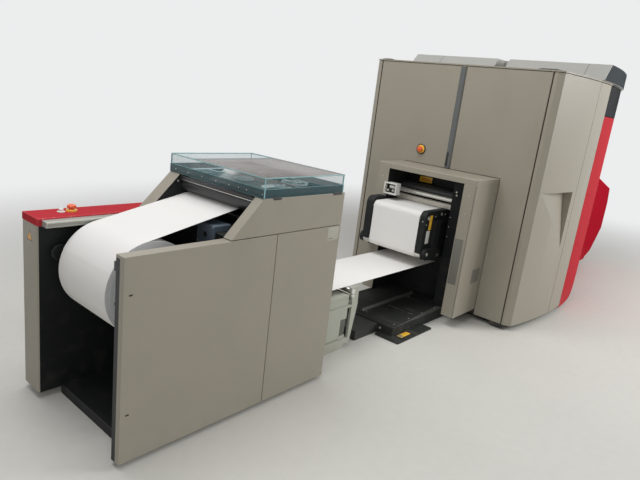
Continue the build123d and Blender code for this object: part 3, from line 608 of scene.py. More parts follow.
class Shape:
    """Closed numpy surfaces gathered into one piece."""

    def __init__(self, name: str) -> None:
        """Starts an empty piece.

        Args:
            name: Name of the piece.
        """
        self.name = name
        self.points: list[np.ndarray] = []
        self.faces: list[list[int]] = []
        self.marks: list[int] = []
        self.count = 0
        self.mark = 0

    def marked(self, mark: int) -> "Shape":
        """Gives what is added from here on the finish of this number."""
        self.mark = mark
        return self

    def add(self, points: np.ndarray, faces: list[list[int]]) -> "Shape":
        """Takes in a closed surface.

        Args:
            points: Its vertices (n, 3).
            faces: Its faces, their vertices numbered from 0.

        Returns:
            The shape itself.
        """
        self.points.append(points)
        self.faces += [[k + self.count for k in face] for face in faces]
        self.marks += [self.mark] * len(faces)
        self.count += len(points)
        return self

    def tube(self, rings: np.ndarray) -> "Shape":
        """Adds a closed tube over rings of points, with a flat cap at each end.

        Vertex (i, j) joins (i, j + 1), (i + 1, j + 1) and (i + 1, j); j wraps round. The whole
        is turned outwards by the sign of its volume, the sum of the cones from its middle.

        Args:
            rings: Array (rings, points, 3).

        Returns:
            The shape itself.
        """
        rows, columns, _ = rings.shape
        index = np.arange(rows * columns).reshape(rows, columns)
        ahead = np.roll(index, -1, axis=1)
        quads = np.stack([index[:-1], ahead[:-1], ahead[1:], index[1:]], axis=-1).reshape(-1, 4)
        flat = rings.reshape(-1, 3)
        a, b, c, d = (flat[quads[:, k]] - flat.mean(0) for k in range(4))
        volume = np.einsum("ij,ij->", a, np.cross(b, c)) + np.einsum("ij,ij->", a, np.cross(c, d))
        for ring, order in ((flat[:columns], -1), (flat[-columns:], 1)):
            ring = (ring - flat.mean(0))[::order]
            volume += np.einsum("ij,ij->", ring[:1].repeat(columns - 2, 0), np.cross(ring[1:-1], ring[2:]))
        faces = quads.tolist() + [index[0, ::-1].tolist(), index[-1].tolist()]
        return self.add(flat, [face[::-1] for face in faces] if volume < 0 else faces)

    def slab(self, low: Point, high: Point, corner: float = 0.0, edge: float = 0.0008,
             axis: int = Z) -> "Shape":
        """Adds a block whose outline is a rounded rectangle and whose two rims are rounded.

        Ring k is the outline drawn in by edge·(1 − sin a) at the height edge·(1 − cos a) from a rim.

        Args:
            low: Lowest corner.
            high: Highest corner.
            corner: Radius of the outline's corners.
            edge: Radius of the rims.
            axis: Direction in which the outline is carried.

        Returns:
            The shape itself.
        """
        start, end = np.array(low, float), np.array(high, float)
        u, v = (axis + 1) % 3, (axis + 2) % 3
        middle, half = (start + end) / 2, (end - start) / 2
        edge = min(edge, half[axis] * 0.9, half[u] * 0.45, half[v] * 0.45)
        corner = max(corner, edge * 1.01)
        turns = np.linspace(0, pi / 2, 4)
        rings = []
        for side, angles in ((-1, turns), (1, turns[::-1])):
            for a in angles:
                inset = edge * (1 - np.sin(a))
                outline = rounded_outline(half[u] - inset, half[v] - inset, max(corner - inset, 1e-5))
                ring = np.zeros((len(outline), 3))
                ring[:, [u, v]] = outline
                ring[:, axis] = side * (half[axis] - edge * (1 - np.cos(a)))
                rings.append(ring + middle)
        return self.tube(np.array(rings))

    def inlay(self, face: Face, *blocks: Inlay) -> "Shape":
        """Adds thin blocks set into a face.

        Args:
            face: The face.
            blocks: The blocks.

        Returns:
            The shape itself.
        """
        for block in blocks:
            ends = np.array([face.at(block.low, -block.deep), face.at(block.high, block.proud)])
            self.slab(ends.min(0), ends.max(0), block.corner, block.edge, face.axis)
        return self

    def lathe(self, profile: Sequence[Span], centre: Point, axis: int = Z, turns: int = 40) -> "Shape":
        """Adds a turned body.

        A point (r, t) of the profile gives the ring centre + r·(cos a, sin a) + t along the axis.

        Args:
            profile: Radius and height of each ring, from one end to the other.
            centre: Point on the axis at height 0.
            axis: Direction of the axis.
            turns: Points in a ring.

        Returns:
            The shape itself.
        """
        u, v = (axis + 1) % 3, (axis + 2) % 3
        rows = np.array(profile, float)
        rings = np.zeros((len(rows), turns, 3))
        rings[:, :, [u, v]] = np.maximum(rows[:, :1], 1e-5)[:, :, None] * circle(turns)
        rings[:, :, axis] = rows[:, 1:]
        return self.tube(rings + np.array(centre))

    def turned(self, face: Face, spot: Span, profile: Sequence[Span], turns: int = 40) -> "Shape":
        """Adds a turned body that stands on a face.

        Args:
            face: The face.
            spot: Where its axis meets the face.
            profile: Radius and height over the face of each ring.
            turns: Points in a ring.

        Returns:
            The shape itself.
        """
        return self.lathe([(r, face.way * t) for r, t in profile], face.at(spot), face.axis, turns)

    def hoop(self, profile: np.ndarray, centre: Point, turns: int, axis: int = Y) -> "Shape":
        """Adds a ring-shaped body: a closed profile (r, t) carried once round an axis.

        Vertex (i, j) lies at centre + r_i·(cos a_j, sin a_j) + t_i along the axis; both i and j wrap
        round. The faces look outwards where the profile's area, summed as cross products, says so.

        Args:
            profile: Closed profile of radius and height, its last point not repeated.
            centre: Point on the axis at height 0.
            turns: Points round the axis.
            axis: Direction of the axis.

        Returns:
            The shape itself.
        """
        u, v = (axis + 1) % 3, (axis + 2) % 3
        points = np.zeros((len(profile), turns, 3))
        points[:, :, [u, v]] = profile[:, :1, None] * circle(turns)
        points[:, :, axis] = profile[:, 1:]
        index = np.arange(len(profile) * turns).reshape(len(profile), turns)
        ahead, above = np.roll(index, -1, axis=1), np.roll(index, -1, axis=0)
        quads = np.stack([index, ahead, np.roll(above, -1, axis=1), above], axis=-1).reshape(-1, 4)
        following = np.roll(profile, -1, axis=0)
        area = np.sum(profile[:, 0] * following[:, 1] - profile[:, 1] * following[:, 0])
        faces = quads if area < 0 else quads[:, ::-1]
        return self.add((points + np.array(centre)).reshape(-1, 3), faces.tolist())

    def sheet(self, low: Point, high: Point) -> "Shape":
        """Adds a flat sheet; its two broad faces take the mark and its edges the next one.

        Args:
            low: Lowest corner.
            high: Highest corner.

        Returns:
            The shape itself.
        """
        thin = int(np.argmin(np.array(high) - low))
        first = len(self.faces)
        self.slab(low, high, 0.0012, 0.0006, thin)
        self.marks[first:-2] = [self.mark + 1] * (len(self.marks) - 2 - first)
        return self

    def bar(self, path: Sequence[Point], radius: float, sides: int = 20) -> "Shape":
        """Adds a round bar along a path of straight runs.

        Ring k is a circle round point k in the plane square to the mean of the runs beside it.

        Args:
            path: Points of the bar's middle.
            radius: Radius of the bar.
            sides: Points in a ring.

        Returns:
            The shape itself.
        """
        line = np.array(path, float)
        way = np.gradient(line, axis=0)
        way /= np.linalg.norm(way, axis=1, keepdims=True)
        side = np.cross(way, (0.0, 0.0, 1.0) if abs(way[0, 2]) < 0.9 else (1.0, 0.0, 0.0))
        side /= np.linalg.norm(side, axis=1, keepdims=True)
        pair = np.stack([side, np.cross(way, side)], axis=1)
        return self.tube(line[:, None, :] + radius * circle(sides) @ pair)

    def plate(self, outline: np.ndarray, low: float, high: float, axis: int = Z) -> "Shape":
        """Adds a flat plate over a convex outline.

        Args:
            outline: Corners (n, 2) in the two directions after the axis, in order.
            low: Start along the axis.
            high: End along the axis.
            axis: Direction of the thickness.

        Returns:
            The shape itself.
        """
        rings = np.zeros((2, len(outline), 3))
        rings[:, :, [(axis + 1) % 3, (axis + 2) % 3]] = outline
        rings[0, :, axis], rings[1, :, axis] = low, high
        return self.tube(rings)

    def build(self, *dress: Dress, body: str = "press", slot: str = "", nodes: Sequence[str] = (),
              smooth: float = 35.0) -> None:
        """Puts the surfaces into one mesh that rides on a body.

        Args:
            dress: Finishes, in the order of the marks.
            body: CAD body that carries the piece.
            slot: Not used.
            nodes: CAD nodes that the piece stands for.
            smooth: Angle in degrees up to which edges are shaded smooth.
        """
        mesh = bpy.data.meshes.new(self.name)
        mesh.from_pydata(np.concatenate(self.points), [], self.faces)
        mesh.polygons.foreach_set("material_index", np.array(self.marks, np.int32))
        mesh.update()
        finished(self.name, mesh, body, dress, nodes, smooth)


def finished(name: str, mesh: bpy.types.Mesh, body: str, dress: Sequence[Dress],
             nodes: Sequence[str], smooth: float) -> bpy.types.Object:
    """Makes a mesh into a piece of the press.

    Args:
        name: Name of the piece.
        mesh: Its mesh, in the row frame.
        body: CAD body that carries it.
        dress: Finishes of its material slots.
        nodes: CAD nodes that it stands for.
        smooth: Angle in degrees up to which edges are shaded smooth.

    Returns:
        The object.
    """
    for finish in dress:
        mesh.materials.append(finish.paint())
    mesh.polygons.foreach_set("use_smooth", np.ones(len(mesh.polygons), bool))
    mesh.set_sharp_from_angle(angle=radians(smooth))
    piece = bpy.data.objects.new(name, mesh)
    bpy.context.scene.collection.objects.link(piece)
    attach(piece, body)
    if nodes:
        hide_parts(*nodes)
    return piece


def body_of(node: str) -> str:
    """Body that carries a CAD node."""
    return frame["nodes"][node]["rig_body"]


@dataclass(frozen=True)
class Faces:
    """Faces of a mesh: their middles and normals, each with a row for X, one for Y and one for Z."""

    middle: np.ndarray
    normal: np.ndarray


Pick = Callable[[Faces], np.ndarray]


def inner_side(face: Face) -> Pick:
    """Picks the faces that lie at or past one and look its way.

    Args:
        face: The face.

    Returns:
        A function of a mesh's faces that gives 1 there and 0 elsewhere.
    """
    def pick(faces: Faces) -> np.ndarray:
        """1 on the inner side."""
        past = (faces.middle[face.axis] - face.place) * face.way > -0.001
        return (past & (faces.normal[face.axis] * face.way > 0.9)).astype(int)
    return pick


def softened(node: str, *dress: Dress, width: float = 0.003, pick: Pick | None = None,
             cuts: Sequence[tuple[Point, Point]] = ()) -> None:
    """Puts in a copy of a CAD node with its flat faces joined and its edges rounded.

    Args:
        node: The CAD node that the copy stands for.
        dress: The finish, then the one of the rounded edges or of the picked faces.
        width: Width of the rounding; 0 leaves the edges sharp.
        pick: Gives the number of each face's finish.
        cuts: Planes, each a point and a normal, that part its faces so that what lies between can be picked.
    """
    mesh = frame["nodes"][node].data.copy()
    mesh.materials.clear()
    form = bmesh.new()
    form.from_mesh(mesh)
    bmesh.ops.remove_doubles(form, verts=form.verts, dist=WELD)
    bmesh.ops.dissolve_limit(form, angle_limit=FLAT, verts=form.verts, edges=form.edges)
    for place, way in cuts:
        whole = [*form.verts, *form.edges, *form.faces]
        bmesh.ops.bisect_plane(form, geom=whole, dist=1e-6, plane_co=place, plane_no=way)
    form.to_mesh(mesh)
    form.free()
    for name in [a.name for a in mesh.attributes if a.name.startswith("custom") or a.name == "UVMap"]:
        mesh.attributes.remove(mesh.attributes[name])
    if pick is not None:
        middles, normals = np.zeros((2, len(mesh.polygons) * 3))
        mesh.polygons.foreach_get("center", middles)
        mesh.polygons.foreach_get("normal", normals)
        marks = pick(Faces(middles.reshape(-1, 3).T, normals.reshape(-1, 3).T))
        mesh.polygons.foreach_set("material_index", marks.astype(np.int32))
    piece = finished(f"{node}_body", mesh, body_of(node), dress, [node],
                     180.0 if width else 30.0)
    if width:
        bevel = piece.modifiers.new("rounding", "BEVEL")
        bevel.width, bevel.segments, bevel.limit_method = width, 3, "ANGLE"
        bevel.angle_limit = ROUNDED
        bevel.use_clamp_overlap, bevel.harden_normals = True, True
        bevel.material = -1 if pick is not None else len(dress) - 1


@dataclass(frozen=True)
class Screws:
    """Socket-head screws on a face; their size is set against a 10 mm head."""

    name: str
    face: Face
    spots: tuple[Span, ...]
    size: float = 1.0
    head: Profile = ((0.0, 0.0), (0.0052, 0.0), (0.0052, 0.0014), (0.0046, 0.0026), (0.0028, 0.0030),
                     (0.0026, 0.0012), (0.0, 0.0012))
    sunk: float = 0.0004

    def build(self) -> None:
        """Turns each head: its profile runs out, up the rounded side and down into the socket."""
        shape = Shape(self.name)
        profile = [(r * self.size, t * self.size - self.sunk) for r, t in self.head]
        for spot in self.spots:
            shape.turned(self.face, spot, profile, 20)
        shape.build(Dress.ZINC)


@dataclass(frozen=True)
class Louvres:
    """Rows of hooded slots on an upright face; the hood's section is in distances out and up."""

    name: str
    face: Face
    span: Span
    rows: tuple[float, ...]
    dress: Dress
    hood: Profile = ((-0.001, 0.013), (0.007, 0.003), (0.007, 0.001), (-0.001, 0.005))
    slot: Span = (-0.007, 0.005)
    rim: float = 0.003

    def build(self) -> None:
        """Carries each hood's section along the face over a dark slot."""
        shape = Shape(self.name)
        section = np.array(self.hood)
        left, right = self.span
        for z in self.rows:
            rings = np.zeros((2, len(section), 3))
            rings[:, :, self.face.axis] = self.face.place + self.face.way * section[:, 0]
            rings[:, :, 1 - self.face.axis] = np.array(self.span)[:, None]
            rings[:, :, Z] = z + section[:, 1]
            shape.marked(0).tube(rings)
            low, high = (left + self.rim, z + self.slot[0]), (right - self.rim, z + self.slot[1])
            shape.marked(1).inlay(self.face, Inlay(low, high, 0.004, 0.0003, 0.0008, 0.001))
        shape.build(self.dress, Dress.INK)


# Sub-assemblies
@dataclass
class UnwinderHousing:
    """Walls, waist, ledge and upper housing of the unwinder."""

    near: Face = Face(Y, -0.516, -1)
    far: Face = Face(Y, 0.516, 1)
    near_inner: Face = Face(Y, -0.4465, 1)
    far_inner: Face = Face(Y, 0.3215, -1)
    cheek: Face = Face(Y, 0.256, -1)
    ledge: Face = Face(Z, 1.0815, 1)
    sensor: Face = Face(X, -3.862, -1)
    front_x: float = -4.543
    rear_x: float = -3.040
    slots: tuple[Span, ...] = ((-4.504, 0.293), (-4.504, 0.914))
    slot_half: Span = (0.010, 0.0045)
    seam: Inlay = Inlay((-3.5895, 0.045), (-3.5865, 1.038), 0.0008)
    plate: Inlay = Inlay((-3.140, 1.008), (-3.035, 1.094))
    plate_print: Inlay = Inlay((-3.128, 1.016), (-3.090, 1.024), 0.001, 0.0002, 0.0009, 0.001)
    latch_y: float = -0.447
    latch_x: Span = (0.003, 0.034)
    latches: tuple[Point, ...] = ((-0.424, 1.013, 1.061), (-0.434, 0.845, 0.864))
    feet: tuple[Inlay, ...] = (Inlay((-3.652, 1.303), (-3.588, 1.320), 0.003, 0.001, 0.0022, 0.004),
                               Inlay((-3.135, 1.303), (-3.050, 1.320), 0.003, 0.001, 0.0022, 0.004))
    cheek_screws: tuple[Span, ...] = ((-3.736, 1.270), (-3.709, 1.308))
    stop_at: Span = (-4.330, 0.430)
    stop_base: Profile = ((0.0, 0.0), (0.031, 0.0), (0.031, 0.009), (0.028, 0.012), (0.0, 0.012))
    stop_head: Profile = ((0.0, 0.010), (0.014, 0.010), (0.014, 0.022), (0.0255, 0.0225), (0.0265, 0.028),
                          (0.0235, 0.036), (0.014, 0.0415), (0.0, 0.043))
    knob_at: Span = (-4.390, 0.430)
    knob: Profile = ((0.0, 0.0), (0.022, 0.0), (0.022, 0.004), (0.015, 0.006), (0.013, 0.018), (0.009, 0.022),
                     (0.0, 0.0225))
    housing_low: Point = (-3.862, -0.283, 0.994)
    housing_high: Point = (-3.740, -0.130, 1.117)
    housing_screw_in: float = 0.010
    lens_at: Span = (-0.206, 1.055)
    lens: Profile = ((0.0, -0.0005), (0.016, -0.0005), (0.016, 0.0035), (0.012, 0.0045), (0.010, 0.0025),
                     (0.0, 0.0015))
    bar_step: float = 0.0005
    bars: tuple[tuple[int, Span, Span, float, float], ...] = (
        (0, (-3.724, 1.281), (-3.708, 1.305), 0.002, 0.001),
        (0, (-3.610, 1.108), (-3.584, 1.134), 0.004, 0.002),
        (1, (-3.7256, 1.2805), (-3.7232, 1.2845), 0.001, 0.0006),
        (1, (-3.6112, 1.1300), (-3.6062, 1.1352), 0.002, 0.0008))
    sign_at: Span = (0.419, 0.960)
    sign_reach: float = 0.041
    sign_rim: float = 0.0045

    def build(self) -> None:
        """Builds and dresses the housing."""
        for node in ("near_front_panel", "near_rear_panel"):
            softened(node, Dress.LINED)
        softened("near_cheek", Dress.HOUSING, Dress.BLACK, pick=inner_side(self.near_inner))
        cuts = [((0.0, *corner), (0.0, *way)) for sign in self.signs() for corner, way in sign]
        softened("far_wall", Dress.HOUSING, Dress.BLACK, Dress.INK, Dress.AMBER,
                 pick=self.wall_faces, cuts=cuts)
        softened("upper_shell", Dress.HOUSING, Dress.BLACK, width=0.002, pick=self.shell_faces)
        softened("far_wall_cap", Dress.RED, Dress.RED_EDGE, width=0.002)
        softened("control_shelf", Dress.COOL, Dress.PALE_EDGE, width=0.004)
        softened("unwinder_base", Dress.BLACK, Dress.BLACK_EDGE, width=0.002)
        self.fittings()
        self.controls()
        self.interior()

    def signs(self) -> list[list[tuple[np.ndarray, np.ndarray]]]:
        """Sides of the two nested triangles of the far wall's sign.

        A side's point lies at centre + inset·(cos a, sin a) and its normal is (cos a, sin a), for a at 30,
        150 and 270 degrees; the inset is half the reach to a corner, and less the rim in the inner one.

        Returns:
            For each triangle its sides, each a point and an outward normal in Y and Z.
        """
        ways = [np.array((cos(a), sin(a))) for a in (pi / 6, 5 * pi / 6, 3 * pi / 2)]
        insets = (self.sign_reach / 2, self.sign_reach / 2 - self.sign_rim)
        return [[(np.array(self.sign_at) + inset * way, way) for way in ways] for inset in insets]

    def wall_faces(self, faces: Faces) -> np.ndarray:
        """Black on the far wall's inner side, a dark rim and amber within it on the sign.

        Args:
            faces: The wall's faces.

        Returns:
            The number of each face's finish.
        """
        marks = inner_side(self.far_inner)(faces)
        front = (faces.normal[X] < -0.9) & (faces.middle[X] < self.front_x)
        for mark, sign in enumerate(self.signs(), 2):
            sides = [way @ (faces.middle[Y:] - corner[:, None]) < 0 for corner, way in sign]
            within = np.all(sides, axis=0)
            marks[front & within] = mark
        return marks

    def shell_faces(self, faces: Faces) -> np.ndarray:
        """Black on the faces that look into the unwinder: the cheek's inner side and the rear wall's front.

        Args:
            faces: The shell's faces.

        Returns:
            The number of each face's finish.
        """
        x, y, _ = faces.middle
        cheek = (y < self.cheek.place + 0.001) & (x < self.rear_x - 0.0005) & (faces.normal[Y] < -0.9)
        rear = (faces.normal[X] < -0.9) & (x > self.rear_x - 0.005) & (x < self.rear_x + 0.010)
        return (cheek | rear).astype(int)

    def fittings(self) -> None:
        """Slots, latches, plates and screws of the walls."""
        wide, high = self.slot_half
        slots = [Inlay((x - wide, z - high), (x + wide, z + high)) for x, z in self.slots]
        Shape("wall_slots").inlay(self.near, *slots).build(Dress.INK)
        latches = Shape("wall_latches")
        near, far = (self.front_x + out for out in self.latch_x)
        for y, foot, top in self.latches:
            latches.slab((near, self.latch_y, foot), (far, y, top), 0.006, 0.002, X)
        latches.build(Dress.INK)
        plate = Shape("rear_panel_plate").inlay(self.near, self.plate)
        plate.marked(1).inlay(self.near, self.plate_print).build(Dress.LABEL, Dress.DULL)
        Shape("far_wall_seam").inlay(self.far, self.seam, *slots).build(Dress.INK)
        Screws("far_cheek_screws", self.cheek, self.cheek_screws, 1.3).build()
        Shape("cover_feet").inlay(self.near, *self.feet).build(Dress.INK)

    def controls(self) -> None:
        """Stop button and small knob on the red ledge."""
        stop = Shape("ledge_stop_button").turned(self.ledge, self.stop_at, self.stop_base)
        stop.marked(1).turned(self.ledge, self.stop_at, self.stop_head).build(Dress.YELLOW, Dress.ORANGE)
        Shape("ledge_knob").turned(self.ledge, self.knob_at, self.knob).build(Dress.WHITE)

    def interior(self) -> None:
        """Blue-grey sensor housing on the core's front, its lens and screws, and the bars behind it."""
        block = Shape("core_sensor_housing").slab(self.housing_low, self.housing_high, 0.006, 0.003, X)
        block.marked(1).turned(self.sensor, self.lens_at, self.lens).build(Dress.SLATE, Dress.INK)
        shape = Shape("entry_bar")
        for mark, low, high, corner, edge in self.bars:
            start = self.near_inner.place + self.bar_step * mark
            end = self.cheek.place + self.bar_step * (1 - mark)
            shape.marked(mark).slab((low[0], start, low[1]), (high[0], end, high[1]), corner, edge, Y)
        shape.build(Dress.INK, Dress.ZINC)
        (_, y0, z0), (_, y1, z1), inset = self.housing_low, self.housing_high, self.housing_screw_in
        spots = tuple((y, z) for y in (y0 + inset, y1 - inset) for z in (z0 + inset, z1 - inset))
        Screws("sensor_screws", self.sensor, spots, 0.8).build()


@dataclass
class Reel:
    """Paper reel on its chucks."""

    axle: Span = REEL_AXLE
    half: float = WEB_HALF
    radius: float = 0.262
    core: float = 0.045
    chuck: Face = Face(Y, 0.285, -1)
    bolt_circle: float = 0.058

    def build(self) -> None:
        """Winds the reel and dresses its core and arms."""
        self.windings()
        softened("reel_core", Dress.TURNED, width=0.0015)
        for node in ("chuck_arm_far", "chuck_arm_near"):
            softened(node, Dress.BLACK, Dress.BLACK_EDGE)
        spots = np.array(self.axle) + self.bolt_circle * circle(6)
        Screws("far_chuck_screws", self.chuck, tuple(spots), 1.1).build()

    def windings(self) -> None:
        """Turned roll whose end faces step in and out by fractions of a millimetre.

        The end's height is half − 0.0004·(1 + sin(410 r + 3 sin(97 r))) over 70 radii.
        """
        radii = np.linspace(self.core + 0.0003, self.radius - 0.0006, 70)
        waves = self.half - 0.0004 * (1 + np.sin(410 * radii + 3 * np.sin(97 * radii)))
        side = np.concatenate([[(self.core, self.half - 0.004)], np.stack([radii, waves], axis=1),
                               [(self.radius, self.half - 0.0012)]])
        loop = np.concatenate([side * (1, -1), side[::-1]])
        roll = Shape("paper_roll").hoop(loop, (self.axle[0], 0.0, self.axle[1]), 180)
        roll.build(Dress.REEL, body="reel", slot="paper", nodes=["paper_reel"], smooth=50.0)


@dataclass
class Rollers:
    """Every roller of the press, turned smooth."""

    rim: float = 0.0012
    finishes: tuple[tuple[Dress, tuple[str, ...]], ...] = (
        (Dress.STEEL, ("inner_roller", "guide_roller", "loop_roller_upper", "loop_roller_lower",
                       "turn_roller")),
        (Dress.BRIGHT, ("nip_roller",)),
        (Dress.GRAPHITE, ("entry_roller", "press_roller")))

    def build(self) -> None:
        """Dresses the rollers with rounded rims."""
        for dress, nodes in self.finishes:
            for node in nodes:
                softened(node, dress, width=self.rim)


@dataclass
class Web:
    """Paper from the reel through the unwinder, and through the loop into the tower."""

    axle: Span = REEL_AXLE
    half: float = WEB_HALF
    wound: float = 0.2633
    hug: float = 0.9
    bend: float = 0.049
    thick: float = 0.0012
    upper: Profile = ((-3.640, 1.203), (-3.300, 1.378), (-3.300, 0.960))
    loop: Profile = ((-3.130, 0.494), (-1.032, 0.494), (-1.032, 0.592), (-1.570, 0.592), (-1.570, 1.010),
                     (-0.965, 1.010))

    def build(self) -> None:
        """Lays both runs; the upper one starts hugging the reel."""
        x, z = self.axle
        reach = np.array(self.upper[0]) - (x, z)
        leave = np.arctan2(reach[1], reach[0]) + np.arccos(self.wound / np.hypot(*reach))
        angle = np.linspace(leave + self.hug, leave, 30)
        grown = self.wound - self.thick / 2 * np.linspace(1, 0, 30)
        hug = np.stack([x + grown * np.cos(angle), z + grown * np.sin(angle)], axis=1)
        path = np.concatenate([hug[:-1], self.rounded([tuple(hug[-1]), *self.upper])])
        thick = self.thick * np.clip(np.arange(len(path)) / 24, 0.15, 1)
        self.ribbon("unwinder_paper", path, thick, "unwinder_web")
        path = self.rounded(self.loop)
        self.ribbon("press_paper", path, np.full(len(path), self.thick), "press_web")

    def rounded(self, corners: Sequence[Span]) -> np.ndarray:
        """Path with its corners rounded.

        An arc's middle lies on the corner's bisector, bend / sin(half the angle) away; the arc
        runs from one tangent point to the other, bend / tan(half the angle) along the runs.

        Args:
            corners: Corner points in X and Z.

        Returns:
            Points (n, 2).
        """
        spots = [np.array(corners[0])[None]]
        for before, corner, after in zip(corners, corners[1:], corners[2:]):
            a, b = (np.array(p) - corner for p in (before, after))
            a, b = a / np.hypot(*a), b / np.hypot(*b)
            half_angle = np.arccos(np.clip(a @ b, -1, 1)) / 2
            middle = corner + (a + b) / np.hypot(*(a + b)) * self.bend / sin(half_angle)
            start, end = (np.array(corner) + v * self.bend / np.tan(half_angle) - middle for v in (a, b))
            first, turn = np.arctan2(start[1], start[0]), np.arctan2(np.cross(start, end), start @ end)
            angle = first + turn * np.linspace(0, 1, 22)
            spots.append(middle + self.bend * np.stack([np.cos(angle), np.sin(angle)], axis=1))
        spots.append(np.array(corners[-1])[None])
        return np.concatenate(spots)

    def ribbon(self, name: str, path: np.ndarray, thick: np.ndarray, node: str) -> None:
        """Sheet along a path.

        Ring k holds the four corners path ± thick/2 square to the path, at ± half along Y.

        Args:
            name: Name of the piece.
            path: Points in X and Z.
            thick: Thickness at each point.
            node: CAD node that it stands for.
        """
        way = np.gradient(path, axis=0)
        way /= np.linalg.norm(way, axis=1, keepdims=True)
        square = np.stack([-way[:, 1], way[:, 0]], axis=1) * thick[:, None] / 2
        rings = np.zeros((len(path), 4, 3))
        for k, (side, face) in enumerate(((-1, -1), (1, -1), (1, 1), (-1, 1))):
            rings[:, k, [X, Z]] = path + face * square
            rings[:, k, Y] = side * self.half
        Shape(name).tube(rings).build(Dress.PAPER, slot="paper", nodes=[node])


@dataclass
class ClearCover:
    """Cover of clear sheets with a smoked lid, and what lies under it."""

    x: Span = (-3.727, -3.040)
    y: Span = (-0.516, 0.362)
    foot: float = 1.315
    rail: float = 1.365
    top: float = 1.430
    lid_y: float = 0.129
    rail_thick: float = 0.008
    flange: float = 0.022
    wall_in: float = 0.002
    wall_thick: float = 0.006
    shelf_thick: float = 0.004
    screw_z: float = 1.338
    screw_y: tuple[float, ...] = (0.300, 0.170, 0.033, -0.101, -0.221, -0.304, -0.373, -0.503)
    wheels: tuple[Point, ...] = ((-3.470, -0.060, 0.055), (-3.300, -0.010, 0.045), (-3.218, -0.255, 0.080),
                                 (-3.395, -0.330, 0.050))
    tube: float = 0.006
    spoke: float = 0.0045
    hub: Profile = ((0.0, 0.001), (0.014, 0.001), (0.014, 0.016), (0.010, 0.019), (0.0, 0.019))
    disc_at: Span = (-3.445, -0.315)
    disc_reach: Span = (0.095, 0.075)
    plates: tuple[tuple[float, float, float, float], ...] = (
        (-3.38, 0.262, 0.085, 0.055), (-3.42, 0.325, 0.20, 0.012), (-3.12, -0.05, 0.045, 0.20))

    def build(self) -> None:
        """Builds rails, walls, lid and the shelf under them."""
        self.rails()
        self.walls()
        self.shelf()
        spots = tuple((y, self.screw_z) for y in self.screw_y)
        Screws("cover_rail_screws", Face(X, self.x[0], -1), spots, 0.65).build()

    def corners(self, inset: float) -> tuple[float, float, float, float]:
        """Lowest and highest X, then Y, at a distance in from the cover's outside."""
        return self.x[0] + inset, self.x[1] - inset, self.y[0] + inset, self.y[1] - inset

    def ring(self, shape: Shape, inset: float, thick: float, foot: float, top: float) -> None:
        """Four sheets round the cover, standing or lying.

        Args:
            shape: Piece that takes them.
            inset: Distance from the cover's outside.
            thick: Thickness of a standing sheet, or width of a lying one.
            foot: Underside of the sheets.
            top: Top of the sheets.
        """
        x0, x1, y0, y1 = self.corners(inset)
        shape.sheet((x0, y0, foot), (x0 + thick, y1, top)).sheet((x1 - thick, y0, foot), (x1, y1, top))
        shape.sheet((x0 + thick, y0, foot), (x1 - thick, y0 + thick, top))
        shape.sheet((x0 + thick, y1 - thick, foot), (x1 - thick, y1, top))

    def rails(self) -> None:
        """Angle profiles of thick tinted sheet whose edges are a lighter teal, a painted highlight."""
        rails = Shape("cover_rails")
        self.ring(rails, 0.0, self.rail_thick, self.foot, self.rail)
        self.ring(rails, self.rail_thick, self.flange, self.foot, self.foot + self.rail_thick)
        rails.build(Dress.TEAL, Dress.TEAL_EDGE, slot="acrylic", nodes=["cover_frame"], smooth=30.0)

    def walls(self) -> None:
        """Clear walls, the clear far top and the smoked lid."""
        under = self.top - self.wall_thick
        walls = Shape("cover_walls")
        self.ring(walls, self.wall_in, self.wall_thick, self.rail, under)
        x0, x1, _, y1 = self.corners(self.wall_in)
        walls.sheet((x0, self.lid_y + 0.001, under), (x1, y1, self.top))
        walls.build(Dress.PANE, Dress.TEAL_EDGE, slot="acrylic", nodes=["cover_panes"], smooth=30.0)
        x0, x1, y0, _ = self.corners(0.0)
        lid = Shape("smoked_lid").sheet((x0, y0, under), (x1, self.lid_y, self.top))
        lid.build(Dress.SMOKED, Dress.TEAL_EDGE, slot="smoked", nodes=["cover_lid"], smooth=30.0)

    def shelf(self) -> None:
        """Clear shelf on the rails' feet, with hand wheels, a half disc and outlined plates on it."""
        x0, x1, y0, y1 = self.corners(self.rail_thick + 0.002)
        under = self.foot + self.rail_thick
        z = under + self.shelf_thick
        Shape("cover_shelf").sheet((x0, y0, under), (x1, y1, z)).build(Dress.CLEAR, Dress.TEAL_EDGE)
        wheels = Shape("clear_wheels")
        for x, y, radius in self.wheels:
            wheels.hoop((radius, 0.007) + self.tube * circle(12), (x, y, z), 48, Z)
            wheels.lathe(self.hub, (x, y, z))
            for way in circle(3):
                ends = [(x + r * way[0], y + r * way[1], z + 0.008) for r in (0.012, radius / 2, radius)]
                wheels.bar(ends, self.spoke, 12)
        wheels.build(Dress.WHEEL)
        angle = np.linspace(0, pi, 25)
        arc = np.stack([np.cos(angle), np.sin(angle)], axis=1) * self.disc_reach + self.disc_at
        Shape("pale_half_disc").plate(arc, z, z + 0.003).build(Dress.ICE)
        plates = Shape("teal_plates")
        for x, y, wide, deep in self.plates:
            plates.sheet((x - wide, y - deep, z), (x + wide, min(y + deep, y1 - 0.003), z + 0.005))
        plates.build(Dress.PANE, Dress.ICE)


